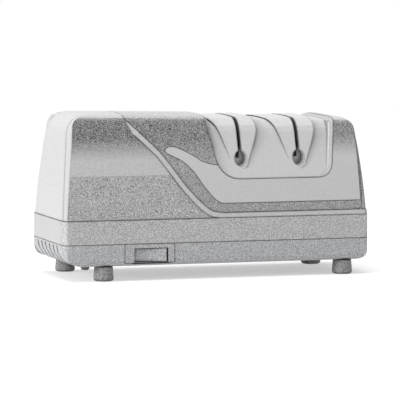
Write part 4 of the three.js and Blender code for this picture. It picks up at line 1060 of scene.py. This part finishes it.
@dataclass(frozen=True)
class Stages(SubAssembly):
    """The coarse and fine pairs of wheels with their springs and collars, and the end bearing."""

    def finishes(self) -> dict[str, Finish]:
        """Lists the pieces with their finishes."""
        return {
            "coarse_wheel_fixed": Finish.ABRASIVE_COARSE,
            "coarse_wheel_sliding": Finish.ABRASIVE_COARSE,
            "coarse_spring": Finish.STEEL,
            "coarse_collar": Finish.STEEL,
            "fine_wheel_fixed": Finish.ABRASIVE_FINE,
            "fine_wheel_sliding": Finish.ABRASIVE_FINE,
            "fine_spring": Finish.STEEL,
            "fine_collar": Finish.STEEL,
            "end_bracket": Finish.BLACK_PLASTIC,
            "bush_end": Finish.BRASS,
        }


@dataclass(frozen=True)
class Screws(SubAssembly):
    """The screws that hold the base, the housing and the end bracket."""

    def finishes(self) -> dict[str, Finish]:
        """Lists the pieces with their finishes."""
        return {
            "base_screw_left": Finish.BLACKENED_STEEL,
            "base_screw_right": Finish.BLACKENED_STEEL,
            "bracket_screw_front": Finish.STEEL,
            "bracket_screw_back": Finish.STEEL,
            "housing_screw_front_left": Finish.STEEL,
            "housing_screw_front_right": Finish.STEEL,
            "housing_screw_back_left": Finish.STEEL,
            "housing_screw_back_right": Finish.STEEL,
        }


@dataclass(frozen=True)
class Camera:
    """The photograph's view, fitted on the outlines: nearly from the front, far away.

    Attributes:
        yaw: Turn towards the left end, in degrees.
        rise: Height above the horizon, in degrees.
        distance: Distance from the target, in metres.
        focal: Focal length in pixels of the photograph.
        target: The point at the middle of the picture.
        clip_end: How far it sees, in metres.
    """

    yaw: float = 17.2
    rise: float = 4.8
    distance: float = 2.8
    focal: float = 4029.0
    target: tuple[float, float, float] = (0.0, 0.0, 0.0503)
    clip_end: float = 20.0

    def build(self) -> None:
        """Adds the camera and makes it the scene's."""
        data = bpy.data.cameras.new("camera")
        data.sensor_width = SENSOR_WIDTH
        data.lens = self.focal / PHOTO_WIDTH * data.sensor_width
        data.clip_end = self.clip_end
        camera = bpy.data.objects.new("camera", data)
        bpy.context.scene.collection.objects.link(camera)
        yaw = math.radians(self.yaw)
        rise = math.radians(self.rise)
        level = math.cos(rise)
        back = Vector((-math.sin(yaw) * level, -math.cos(yaw) * level, math.sin(rise)))
        camera.location = Vector(self.target) + back * self.distance
        camera.rotation_euler = back.to_track_quat("Z", "Y").to_euler()
        bpy.context.scene.camera = camera
        log.info("camera at %s", tuple(round(v, 3) for v in camera.location))


@dataclass(frozen=True)
class Softbox:
    """A soft rectangular lamp that faces the object.

    Attributes:
        name: The lamp's name.
        place: Where it hangs, in metres.
        size: Width and height in metres.
        power: Power in watts.
        aim: The point it faces.
    """

    name: str
    place: tuple[float, float, float]
    size: tuple[float, float]
    power: float
    aim: tuple[float, float, float] = (0.0, 0.0, 0.06)

    def build(self) -> None:
        """Adds the lamp."""
        data = bpy.data.lights.new(self.name, "AREA")
        data.shape = "RECTANGLE"
        data.size, data.size_y = self.size
        data.energy = self.power
        lamp = bpy.data.objects.new(self.name, data)
        bpy.context.scene.collection.objects.link(lamp)
        place = Vector(self.place)
        lamp.location = place
        lamp.rotation_euler = (place - Vector(self.aim)).to_track_quat("Z", "Y").to_euler()
        log.info("lamp %s: %s W", self.name, self.power)


def seen(tree: bpy.types.NodeTree) -> Socket:
    """Tells the rays that show a surface, directly or in gloss and glass, from those that light others.

    Args:
        tree: The node tree that asks.

    Returns:
        A socket that is 1 for such a ray.
    """
    path = tree.nodes.new("ShaderNodeLightPath")
    total = path.outputs["Is Camera Ray"]
    for name in ("Is Glossy Ray", "Is Transmission Ray"):
        either = tree.nodes.new("ShaderNodeMath")
        either.operation = "MAXIMUM"
        tree.links.new(total, either.inputs[0])
        tree.links.new(path.outputs[name], either.inputs[1])
        total = either.outputs[0]
    return total


@dataclass(frozen=True)
class MattFloor:
    """The floor's matt white, which stays white where no shadow falls.

    Attributes:
        colour: Linear colour.
        mottles: Mottles per metre.
        mottle: Swing of the lightness, as a share.
        roughness: Roughness.
        gloss: Specular level.
        glow: Light that it adds where it is seen, and not to other surfaces, so that it shows white.
    """

    colour: Colour = (0.8, 0.8, 0.8)
    mottles: float = 6.0
    mottle: float = 0.005
    roughness: float = 0.9
    gloss: float = 0.1
    glow: float = 0.45

    def material(self, name: str) -> bpy.types.Material:
        """Builds the finish.

        Args:
            name: The material's name.

        Returns:
            The material.
        """
        graph = NodeGraph(name)
        colour = graph.shade(self.colour, graph.noise(self.mottles), self.mottle)
        graph.link(colour, graph.shader.inputs["Base Color"])
        graph.shader.inputs["Roughness"].default_value = self.roughness
        graph.shader.inputs["Specular IOR Level"].default_value = self.gloss
        glow = graph.add("ShaderNodeEmission", Strength=self.glow)
        both = graph.add("ShaderNodeAddShader")
        mix = graph.add("ShaderNodeMixShader")
        graph.link(graph.shader.outputs["BSDF"], both.inputs[0])
        graph.link(glow.outputs["Emission"], both.inputs[1])
        graph.link(seen(graph.tree), mix.inputs["Fac"])
        graph.link(graph.shader.outputs["BSDF"], mix.inputs[1])
        graph.link(both.outputs["Shader"], mix.inputs[2])
        graph.link(mix.outputs["Shader"], graph.tree.nodes["Material Output"].inputs["Surface"])
        return graph.material


@dataclass(frozen=True)
class Studio:
    """Floor, lamps and the pale surroundings.

    Attributes:
        floor_size: Side of the floor in metres.
        floor_cells: Faces along the floor's side.
        floor_drop: Gap between the feet and the floor, in metres.
        floor_finish: The floor's finish.
        world_light: Strength of the surroundings as light.
        lamps: The soft lamps.
    """

    floor_size: float = 2.4
    floor_cells: int = 4
    floor_drop: float = 0.0002
    floor_finish: MattFloor = MattFloor()
    world_light: float = 0.38
    lamps: tuple[Softbox, ...] = (
        Softbox("key", (-2.5, -0.5, 0.9), (0.7, 0.7), 35),
        Softbox("top", (-0.3, -0.1, 2.4), (2.0, 1.4), 32),
    )

    def build(self) -> None:
        """Adds the floor, the world and the lamps, and sets the plain view."""
        self.lay_floor()
        self.surround()
        for lamp in self.lamps:
            lamp.build()
        view = bpy.context.scene.view_settings
        view.view_transform = "Standard"

    def lay_floor(self) -> None:
        """Adds the floor just under the feet."""
        mesh = bpy.data.meshes.new("floor")
        shape = bmesh.new()
        cells = self.floor_cells
        bmesh.ops.create_grid(shape, x_segments=cells, y_segments=cells, size=self.floor_size / 2)
        bmesh.ops.translate(shape, verts=shape.verts, vec=(0, 0, -self.floor_drop))
        shape.to_mesh(mesh)
        shape.free()
        floor = bpy.data.objects.new("floor", mesh)
        bpy.context.scene.collection.objects.link(floor)
        floor.data.materials.append(self.floor_finish.material("floor"))
        log.info("floor: %s m square", self.floor_size)

    def surround(self) -> None:
        """Sets the world: white to the camera and in gloss, and a plain even light otherwise."""
        world = bpy.data.worlds.new("studio")
        bpy.context.scene.world = world
        world.use_nodes = True
        tree = world.node_tree
        light = tree.nodes["Background"]
        light.inputs["Color"].default_value = WHITE
        light.inputs["Strength"].default_value = self.world_light
        white = tree.nodes.new("ShaderNodeBackground")
        white.inputs["Color"].default_value = WHITE
        mix = tree.nodes.new("ShaderNodeMixShader")
        tree.links.new(seen(tree), mix.inputs["Fac"])
        tree.links.new(light.outputs["Background"], mix.inputs[1])
        tree.links.new(white.outputs["Background"], mix.inputs[2])
        tree.links.new(mix.outputs["Shader"], tree.nodes["World Output"].inputs["Surface"])


@dataclass(frozen=True)
class Sharpener:
    """The whole sharpener, from its shell inwards.

    Attributes:
        groups: Its sub-assemblies.
    """

    groups: tuple[SubAssembly, ...] = (
        Shell(), GuideInsert(), Tray(), Switch(), Motor(), Stages(), Screws(),
    )

    def build(self, nodes: dict[str, bpy.types.Object]) -> None:
        """Makes the finishes and dresses every sub-assembly.

        Args:
            nodes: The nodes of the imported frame, by name.
        """
        materials = {finish: look.material(finish.value) for finish, look in FINISHES.items()}
        for group in self.groups:
            group.dress(nodes, materials)


def main() -> None:
    """Builds the scene."""
    logging.basicConfig(level=logging.INFO, format="%(name)s: %(message)s")
    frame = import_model()
    Camera().build()
    Studio().build()
    Sharpener().build(frame["nodes"])
    bpy.context.view_layer.update()


if __name__ == "__main__":
    main()
